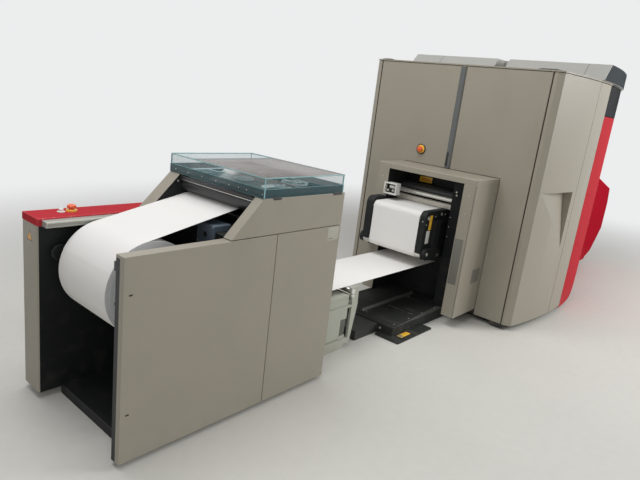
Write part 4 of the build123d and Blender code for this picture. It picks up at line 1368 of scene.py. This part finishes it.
@dataclass
class GuideCabinet:
    """Pale cabinet that guides the web behind the unwinder."""

    post_y: float = 0.312
    front: Face = Face(Y, -0.300, -1)
    tie: Span = (-2.506, 0.437)
    tie_rod: Profile = ((0.0, -0.301), (0.008, -0.301), (0.008, 0.301), (0.0, 0.301))
    bearings: tuple[tuple[Span, Profile], ...] = (
        ((-2.494, 0.470), ((0.0, -0.002), (0.019, -0.002), (0.019, 0.005), (0.016, 0.007), (0.009, 0.007),
                           (0.008, 0.004), (0.0, 0.004))),
        ((-2.500, 0.437), ((0.0, -0.002), (0.011, -0.002), (0.011, 0.012), (0.007, 0.015), (0.0, 0.015))))
    bolts: tuple[Span, ...] = ((-2.452, 0.352), (-2.462, 0.066))
    slat_x: Span = (-2.578, -2.532)
    slat_y: Span = (-0.2985, -0.269)
    slat_z: Span = (0.117, 0.249)
    seams: tuple[Inlay, ...] = (Inlay((-2.745, 0.095), (-2.742, 0.428), 0.0005, 0.0002, 0.0003),
                                Inlay((-3.038, 0.091), (-2.596, 0.094), 0.0005, 0.0002, 0.0003))

    def build(self) -> None:
        """Dresses the cabinet and adds its tie rod, bearings, slats and bolts."""
        softened("guide_frame", Dress.PALE, Dress.PALE_EDGE)
        x, z = self.tie
        Shape("guide_tie_rod").lathe(self.tie_rod, (x, 0.0, z), Y, 28).build(Dress.STEEL)
        ends = Shape("guide_bearings")
        for way in (-1, 1):
            for spot, profile in self.bearings:
                ends.turned(Face(Y, way * self.post_y, way), spot, profile)
        ends.build(Dress.WHITE)
        Screws("guide_post_bolts", Face(Y, -self.post_y, -1), self.bolts, 1.4).build()
        slats = Shape("recess_slats")
        (low_y, high_y), (low_z, high_z) = self.slat_y, self.slat_z
        for x in np.linspace(*self.slat_x, 5):
            slats.slab((x - 0.003, low_y, low_z), (x + 0.003, high_y, high_z), 0.001, 0.001)
        slats.build(Dress.DULL)
        Shape("cabinet_seams").inlay(self.front, *self.seams).build(Dress.INK)


@dataclass
class StepPlatform:
    """Low platform under the web."""

    top: Face = Face(Z, 0.092, 1)
    mat: Face = Face(Z, 0.086, 1)
    foot: Face = Face(Z, 0.016, 1)
    step_x: float = -2.030
    tube_at: Span = (-0.070, 0.118)
    tube_ends: Span = (-1.9765, -1.1795)
    rim: Profile = ((0.0, -0.002), (0.0166, -0.002), (0.0166, 0.002), (0.0, 0.002))
    screws: tuple[Span, ...] = ((-1.946, -0.390), (-1.721, -0.390), (-1.497, -0.390), (-1.268, -0.390))
    bolt: Face = Face(X, -2.025, -1)
    bolt_at: Span = (-0.306, 0.050)
    joints: tuple[Inlay, ...] = (Inlay((-1.5895, -0.352), (-1.5865, -0.088), 0.0008, 0.0005, 0.0012, 0.001),
                                 Inlay((-2.006, -0.357), (-1.430, -0.354), 0.0008, 0.0005, 0.0012, 0.001))
    label: Inlay = Inlay((-1.972, -0.495), (-1.829, -0.448), 0.003, 0.0003, 0.0008, 0.0005)
    label_print: Inlay = Inlay((-1.966, -0.489), (-1.930, -0.454), 0.004, 0.0002, 0.0011, 0.0)

    def build(self) -> None:
        """Dresses the platform and adds its screws, joint and plate."""
        softened("step_platform", Dress.MAT, Dress.TUBE, Dress.STEP, pick=self.platform_faces)
        Screws("platform_screws", self.top, self.screws, 1.1).build()
        Screws("platform_front_bolt", self.bolt, (self.bolt_at,), 2.2).build()
        rims = Shape("platform_tube_rims")
        for x in self.tube_ends:
            rims.lathe(self.rim, (x, *self.tube_at), X)
        rims.build(Dress.ZINC)
        Shape("platform_joints").inlay(self.mat, *self.joints).build(Dress.ZINC)
        plate = Shape("foot_plate_label").inlay(self.foot, self.label)
        plate.marked(1).inlay(self.foot, self.label_print).build(Dress.YELLOW, Dress.DULL)

    def platform_faces(self, faces: Faces) -> np.ndarray:
        """1 on the tube over the mat, 2 on the lower step in front.

        Args:
            faces: The platform's faces.

        Returns:
            The number of each face's finish.
        """
        x, y, z = faces.middle
        beside = (np.abs(y - self.tube_at[0]) < 0.020) & (z > self.mat.place + 0.0005)
        return np.where((z > self.top.place + 0.002) | beside, 1, np.where(x < self.step_x, 2, 0))


@dataclass
class Tower:
    """Printing tower with its doors and roof."""

    front: Face = Face(X, -0.960, -1)
    back: Face = Face(X, 0.990, 1)
    strip: Face = Face(X, -0.9725, -1)
    middle: float = -0.062
    radius: float = 4.484
    widest: float = 1.0254
    crest: float = -0.065
    front_half: float = 0.868
    plinth: float = 0.051
    deck_x: float = 0.14
    deck_z: Span = (2.299, 2.313)
    roof_seams: Span = (-0.905, 0.640)
    seam_half: float = 0.002
    stop_at: Span = (0.209, 1.494)
    stop: tuple[Profile, ...] = (
        ((0.0, -0.001), (0.050, -0.001), (0.050, 0.006), (0.046, 0.009), (0.041, 0.007), (0.0, 0.007)),
        ((0.0, 0.006), (0.040, 0.006), (0.040, 0.009), (0.038, 0.010), (0.0, 0.010)),
        ((0.0, 0.009), (0.016, 0.009), (0.016, 0.022), (0.028, 0.0235), (0.029, 0.029), (0.025, 0.035),
         (0.014, 0.039), (0.0, 0.040)))
    strip_slot: Inlay = Inlay((-0.103, 1.378), (-0.080, 1.507), 0.004, 0.0004, 0.0003)
    back_seam: Inlay = Inlay((-0.0635, 1.47), (-0.0605, 2.28), 0.0008, proud=0.0005)
    hinges: tuple[Span, ...] = ((-0.955, -0.775), (0.705, 0.830))
    hinge_x: Span = (-0.945, -0.865)
    hinge_z: Span = (2.3115, 2.3190)
    barrel_x: Span = (-0.935, -0.915)
    barrel_z: Span = (2.3185, 2.3225)
    barrel_in: float = 0.02
    vents: tuple[Span, ...] = ((-0.62, -0.12), (0.00, 0.50))
    vent_z: Span = (1.70, 1.98)

    def build(self) -> None:
        """Dresses the tower and adds its fittings."""
        softened("tower_body", Dress.HOUSING, Dress.CORE, width=0.0, pick=self.body_faces)
        for node in ("infeed_door_near", "infeed_door_far", "grey_side_door"):
            softened(node, Dress.HOUSING, Dress.HOUSING_EDGE)
        for node in ("red_side_door", "far_red_panel"):
            softened(node, Dress.RED, Dress.RED_EDGE)
        softened("door_handle_strip", Dress.STRIP)
        softened("window_band", Dress.GLASS)
        sides = (-self.seam_half, self.seam_half)
        cuts = [((0.0, y + side, 0.0), (0.0, 1.0, 0.0)) for y in self.roof_seams for side in sides]
        softened("roof_hood", Dress.ROOF, Dress.VISOR, Dress.INK, width=0.006,
                 pick=self.roof_faces, cuts=cuts)
        self.door_fittings()
        self.upper_fittings()

    def skin(self, x: np.ndarray) -> np.ndarray:
        """Half width at x: widest − radius + √(radius² − (x − crest)²)."""
        return self.widest - self.radius + np.sqrt(self.radius ** 2 - (x - self.crest) ** 2)

    def body_faces(self, faces: Faces) -> np.ndarray:
        """Grey on the outer skin above the plinth, dark elsewhere.

        Args:
            faces: The body's faces.

        Returns:
            The number of each face's finish.
        """
        x, y, z = faces.middle
        off = np.abs(y - self.middle)
        side = (np.abs(off - self.skin(x)) < 0.004) & (np.abs(faces.normal[Y]) > 0.6)
        front = (x < self.front.place + 0.032) & (faces.normal[X] < -0.3) & (off > self.front_half)
        deck = (z > self.deck_z[0]) & (z < self.deck_z[1]) & ((faces.normal[Z] > 0.9) | (x < self.deck_x))
        # painted shade under the plinth line; the dark faces inside and in the gaps are a dark inner coat
        skin = (side | front | (x > self.back.place - 0.0005) | deck) & (z > self.plinth)
        return 1 - skin.astype(int)

    def roof_faces(self, faces: Faces) -> np.ndarray:
        """Dark gloss on the two curved sides of the roof, black in its seams.

        Args:
            faces: The roof's faces.

        Returns:
            The number of each face's finish.
        """
        y = faces.middle[Y]
        sides = ((np.abs(faces.normal[Y]) > 0.8) & (np.abs(y - self.middle) > 0.5)).astype(int)
        gaps = np.abs(y[:, None] - np.array(self.roof_seams)).min(1) < self.seam_half + 0.0001
        return np.where(gaps, 2, sides)

    def door_fittings(self) -> None:
        """Stop button on the far front door (black ring, yellow disc and domed head) and the strip's slot."""
        stop = Shape("door_stop_button")
        for mark, profile in enumerate(self.stop):
            stop.marked(mark).turned(self.front, self.stop_at, profile)
        stop.build(Dress.INK, Dress.YELLOW, Dress.ORANGE, body="far_infeed_door")
        Shape("strip_slot").inlay(self.strip, self.strip_slot).build(Dress.INK, body="far_infeed_door")

    def upper_fittings(self) -> None:
        """Hinge plates on the tower's top, vents and a seam in its back."""
        plates = Shape("upper_hinge_plates")
        for start, end in self.hinges:
            for (x0, x1), (z0, z1), inset, corner, edge in (
                    (self.hinge_x, self.hinge_z, 0.0, 0.008, 0.002),
                    (self.barrel_x, self.barrel_z, self.barrel_in, 0.003, 0.001)):
                plates.slab((x0, start + inset, z0), (x1, end - inset, z1), corner, edge)
        plates.build(Dress.INK)
        rows = tuple(np.linspace(*self.vent_z, 9))
        for k, span in enumerate(self.vents):
            Louvres(f"tower_vents_{k}", self.back, span, rows, Dress.HOUSING).build()
        Shape("tower_back_seam").inlay(self.back, self.back_seam).build(Dress.INK)


@dataclass
class Infeed:
    """Infeed housing on the tower's front and the loop of paper in it."""

    front: Face = Face(X, -1.380, -1)
    near: Face = Face(Y, -0.640, -1)
    far_inner: Face = Face(Y, 0.2625, -1)
    cheek: Face = Face(Y, -0.312, -1)
    cheek_edge: Face = Face(X, -1.576, -1)
    liner: Face = Face(X, -1.200, -1)
    nip_bar: Face = Face(X, -1.190, -1)
    back: Face = Face(X, -1.010, -1)
    seam: Inlay = Inlay((-0.6295, 0.102), (-0.6265, 1.301), 0.0005, proud=0.0004)
    front_plate: Inlay = Inlay((-0.603, 0.405), (-0.523, 0.822), 0.004, 0.0004, 0.0008, 0.001)
    side_plate: Inlay = Inlay((-1.160, 0.390), (-1.003, 0.522), 0.004, 0.0004, 0.0008, 0.001)
    warning: Inlay = Inlay((0.002, 1.190), (0.139, 1.244), 0.003, 0.0004, 0.0012, 0.001)
    warning_print: Inlay = Inlay((0.020, 1.203), (0.121, 1.231), 0.002, 0.0002, 0.0015, 0.0)
    yellow_strip: Inlay = Inlay((-1.500, 0.852), (-1.454, 0.984), 0.002, 0.0004, 0.001, 0.001)
    white_strip: Inlay = Inlay((-1.522, 0.728), (-1.464, 0.846), 0.002, 0.0004, 0.001, 0.001)
    bearings: tuple[Point, ...] = ((-1.303, 0.982, 0.016), (-1.521, 0.961, 0.019))
    bearing: Profile = ((0.0, -0.001), (1.0, -0.001), (1.0, 0.004), (0.8, 0.006), (0.5, 0.006),
                        (0.45, 0.003), (0.0, 0.003))
    caps: tuple[Span, ...] = ((-1.521, 0.641), (-1.330, 0.610))
    cap: Profile = ((0.0, -0.001), (0.017, -0.001), (0.017, 0.005), (0.012, 0.008), (0.0, 0.008))
    cap_out: float = 0.038
    frame_low: Point = (-1.392, 0.152, 1.062)
    frame_high: Point = (-1.312, 0.290, 1.172)
    frame_wide: float = 0.012
    frame_end: float = 0.013
    web_x: Span = (-1.345, -1.335)
    web_y: float = 0.2615
    block_low: Point = (-1.372, 0.180, 1.120)
    block_high: Point = (-1.340, 0.240, 1.146)
    clamp_face: Face = Face(X, -1.344, -1)
    clamps: tuple[Span, ...] = ((0.252, 1.098), (0.196, 1.100))
    clamp: Profile = ((0.0, 0.0), (0.011, 0.0), (0.011, 0.030), (0.008, 0.034), (0.0, 0.034))

    def build(self) -> None:
        """Dresses the housing and its mechanism."""
        softened("infeed_cap", Dress.HOUSING, Dress.HOUSING_EDGE)
        softened("infeed_column_near", Dress.HOUSING, Dress.HOUSING_EDGE)
        softened("infeed_column_far", Dress.HOUSING, Dress.BLACK, pick=inner_side(self.far_inner))
        softened("infeed_liner", Dress.BLACK, Dress.BLACK_EDGE, width=0.002)
        for node in ("tension_cheek_near", "tension_cheek_far"):
            softened(node, Dress.BLACK, Dress.BLACK_EDGE)
        softened("nip_plate", Dress.BRUSHED, width=0.001)
        self.plates()
        self.hardware()
        self.bracket()

    def plates(self) -> None:
        """Bare plates and seams of the housing and the cheek."""
        Shape("column_seam").inlay(self.front, self.seam).build(Dress.INK)
        dark = Shape("column_plates").inlay(self.front, self.front_plate)
        dark.inlay(self.near, self.side_plate).build(Dress.SHADE)
        yellow = Shape("liner_plate").inlay(self.back, self.warning)
        yellow.marked(1).inlay(self.back, self.warning_print).build(Dress.YELLOW, Dress.AMBER)
        strips = Shape("cheek_strips").inlay(self.cheek, self.yellow_strip)
        strips.marked(1).inlay(self.cheek, self.white_strip).build(Dress.YELLOW, Dress.WHITE)

    def hardware(self) -> None:
        """Screws, bolt heads and bearing rings on the mechanism."""
        for name, face, spots, size in (
                ("cheek_screws", self.cheek, ((-1.122, 0.935), (-1.122, 0.843), (-1.122, 0.748)), 1.5),
                ("cheek_small_screws", self.cheek, ((-1.400, 0.968), (-1.232, 0.975), (-1.545, 0.905)), 1.1),
                ("plate_edge_screw", self.cheek_edge, ((-0.290, 0.932),), 1.2),
                ("liner_screws", self.liner, ((-0.370, 1.189), (-0.375, 1.160)), 1.7),
                ("filler_screws", self.liner, ((-0.351, 0.951), (-0.351, 0.862), (-0.351, 0.769)), 1.2),
                ("nip_bar_screws", self.nip_bar, ((-0.011, 1.040), (-0.287, 1.040), (0.225, 1.040)), 1.2),
                ("column_screws", self.front, ((-0.570, 1.048), (-0.575, 1.210), (0.325, 1.220)), 0.8)):
            Screws(name, face, spots, size).build()
        rings = Shape("cheek_bearings")
        for x, z, radius in self.bearings:
            rings.turned(self.cheek, (x, z), [(share * radius, out) for share, out in self.bearing])
        for spot in self.caps:
            rings.turned(Face(Y, self.cheek.place - self.cap_out, -1), spot, self.cap)
        rings.build(Dress.ZINC)

    def bracket(self) -> None:
        """White-framed bracket on the far column at the end of the nip, with two clamps in it."""
        (x0, y0, z0), (x1, y1, z1), wide = self.frame_low, self.frame_high, self.frame_wide
        foot, head = z0 + wide - 0.001, z1 - wide + 0.001
        box = Shape("nip_bracket")
        box.slab((x0, y0, z0), (x1, y1, z0 + wide), 0.003, 0.002, Y)
        box.slab((x0, y0, z1 - wide), (x1, y1, z1), 0.003, 0.002, Y)
        box.slab((x0, y0, foot), (x1, y0 + wide, head), 0.003, 0.002)
        box.slab((x0, y1 - wide, foot), (x0 + self.frame_end, y1, head), 0.003, 0.002)
        low, high = (self.web_x[0], y0 + 0.004, z0 + 0.004), (self.web_x[1], self.web_y, z1 - 0.004)
        box.marked(1).slab(low, high, 0.002, 0.001, X)
        box.marked(2)
        for spot in self.clamps:
            box.turned(self.clamp_face, spot, self.clamp)
        box.slab(self.block_low, self.block_high, 0.004, 0.003, X)
        box.build(Dress.WHITE, Dress.INK, Dress.ZINC)


@dataclass
class RearModule:
    """Low module behind the tower."""

    sides: tuple[Face, ...] = (Face(Y, -0.600, -1), Face(Y, 0.476, 1))
    vent_x: Span = (1.18, 1.66)
    vent_z: Span = (0.36, 0.58)
    seam_x: Span = (1.86, 2.44)
    seam_z: Span = (0.09, 1.18)
    seam_half: float = 0.0015
    latch_x: Span = (1.795, 1.823)
    latch_z: Span = (0.72, 1.02)
    latch_half: float = 0.03

    def build(self) -> None:
        """Dresses the module and adds its vents, seams and latches."""
        softened("rear_cover", Dress.DEEP_RED, Dress.RED_EDGE, width=0.008)
        softened("rear_module", Dress.BLACK, Dress.BLACK_EDGE, width=0.002)
        rows = tuple(np.linspace(*self.vent_z, 8))
        (foot, top), (start, end) = self.seam_z, self.latch_x
        for k, face in enumerate(self.sides):
            Louvres(f"module_vents_{k}", face, self.vent_x, rows, Dress.DEEP_RED).build()
            seam = Shape(f"module_seams_{k}")
            for x in self.seam_x:
                seam.inlay(face, Inlay((x - self.seam_half, foot), (x + self.seam_half, top), 0.0008))
            for z in self.latch_z:
                low, high = (start, z - self.latch_half), (end, z + self.latch_half)
                seam.inlay(face, Inlay(low, high, 0.0135, 0.002, 0.005))
            seam.build(Dress.INK)


@dataclass(frozen=True)
class Lamp:
    """Square soft lamp: where it hangs, what it looks at, the side of its face and its watts."""

    name: str
    place: Point
    target: Point
    size: float
    power: float

    def hang(self) -> None:
        """Puts the lamp into the scene."""
        data = bpy.data.lights.new(self.name, "AREA")
        data.shape, data.size, data.energy = "SQUARE", self.size, self.power
        lamp = bpy.data.objects.new(self.name, data)
        lamp.location = self.place
        lamp.rotation_mode = "QUATERNION"
        lamp.rotation_quaternion = (Vector(self.target) - Vector(self.place)).to_track_quat("-Z", "Y")
        bpy.context.scene.collection.objects.link(lamp)


@dataclass
class Studio:
    """Pale floor, soft lamps and a white surround."""

    floor: Colour = (0.60, 0.59, 0.545)
    floor_half: float = 60.0
    floor_middle: float = -0.7
    backdrop: Colour = (0.84, 0.845, 0.85)
    sky: Colour = (0.93, 0.95, 1.0)
    ambient: float = 0.31
    lamps: tuple[Lamp, ...] = (
        Lamp("key", (2.7, -5.2, 3.9), (-0.6, -0.8, 1.1), 3.4, 300.0),
        Lamp("overhead", (-3.9, 0.6, 5.8), (-2.0, 0.0, 0.8), 3.8, 212.0),
        Lamp("fill", (-7.2, -4.0, 3.0), (-2.0, -0.3, 0.9), 3.6, 50.0))

    def build(self) -> None:
        """Lays the floor and hangs the lamps."""
        self.lay_floor()
        self.surround()
        for lamp in self.lamps:
            lamp.hang()

    def surround(self) -> None:
        """World: even soft light, and a pale surround for camera, glossy and transmission rays."""
        world = bpy.data.worlds.new("surround")
        bpy.context.scene.world = world
        graph = Graph(world)
        seen = graph.math("MAXIMUM", graph.ray("Camera"), graph.ray("Transmission"))
        shown = graph.math("MAXIMUM", seen, graph.ray("Glossy"))
        soft = graph.node("ShaderNodeBackground", {}, {0: (*self.sky, 1.0), 1: self.ambient})
        pale = graph.node("ShaderNodeBackground", {}, {0: (*self.backdrop, 1.0), 1: 1.0})
        graph.join(shown, soft, pale, "World")

    def lay_floor(self) -> None:
        """Polished concrete slab that passes into the backdrop's colour away from the press."""
        mesh = bpy.data.meshes.new("studio_floor")
        size = self.floor_half
        corners = [(-size, -size, 0), (size, -size, 0), (size, size, 0), (-size, size, 0)]
        mesh.from_pydata(corners, [], [(0, 1, 2, 3)])
        concrete = bpy.data.materials.new("studio_concrete")
        graph = Graph(concrete)
        x, y, _ = graph.axes
        slow, fine = graph.noise(0.8, 6.0), graph.noise(14.0, 6.0)
        colour = graph.mix(slow * 0.6 + fine * 0.4, shade(self.floor, 0.9), shade(self.floor, 1.1))
        inputs = {"Base Color": colour, "Roughness": slow * 0.2 + 0.42, "Normal": graph.bump(fine, 0.0005)}
        slab = graph.node("ShaderNodeBsdfPrincipled", {}, inputs)
        glow = graph.node("ShaderNodeEmission", {}, {"Color": (*self.backdrop, 1.0), "Strength": 1.0})
        across, along = y * 0.95, (x - self.floor_middle) * 0.72
        away = graph.step(graph.math("SQRT", across * across + along * along, 0.0), 2.6, 6.4)
        seen = graph.ray("Camera") + graph.ray("Glossy") + graph.ray("Transmission")
        graph.join(graph.math("MINIMUM", seen * away, 1.0), slab, glow, "Material")
        mesh.materials.append(concrete)
        floor = bpy.data.objects.new("studio_floor", mesh)
        bpy.context.scene.collection.objects.link(floor)


@dataclass
class Viewpoint:
    """Camera at the photograph's place and angle."""

    place: Point = (-5.803, -2.668, 1.9)
    yaw: float = 39.7
    pitch: float = 14.6
    roll: float = -6.93
    focal_pixels: float = 557.9
    picture_pixels: float = 640
    sensor: float = 36.0

    def build(self) -> None:
        """Sets the camera; its axes come from yaw, then pitch, then roll."""
        yaw, pitch, roll = (radians(a) for a in (self.yaw, self.pitch, self.roll))
        ahead = Vector((cos(yaw) * cos(pitch), sin(yaw) * cos(pitch), -sin(pitch)))
        level = Vector((sin(yaw), -cos(yaw), 0.0))
        down = ahead.cross(level)
        right = cos(roll) * level + sin(roll) * down
        below = cos(roll) * down - sin(roll) * level
        data = bpy.data.cameras.new("viewpoint")
        data.sensor_width = self.sensor
        data.lens = self.focal_pixels * self.sensor / self.picture_pixels
        camera = bpy.data.objects.new("viewpoint", data)
        camera.rotation_mode = "QUATERNION"
        camera.rotation_quaternion = Matrix((right, -below, -ahead)).transposed().to_quaternion()
        camera.location = self.place
        bpy.context.scene.collection.objects.link(camera)
        bpy.context.scene.camera = camera


def main() -> None:
    """Builds the sub-assemblies in order and reports each one's pieces."""
    logging.basicConfig(level=logging.INFO, format="%(message)s")
    bpy.context.scene.view_settings.view_transform = "Standard"
    for part in (Viewpoint(), Studio(), UnwinderHousing(), Reel(), Rollers(), Web(), ClearCover(),
                 GuideCabinet(), StepPlatform(), Tower(), Infeed(), RearModule()):
        before = set(bpy.data.objects)
        part.build()
        for piece in sorted(set(bpy.data.objects) - before, key=lambda made: made.name):
            log.info("%s: %s", type(part).__name__, piece.name)


if __name__ == "__main__":
    main()
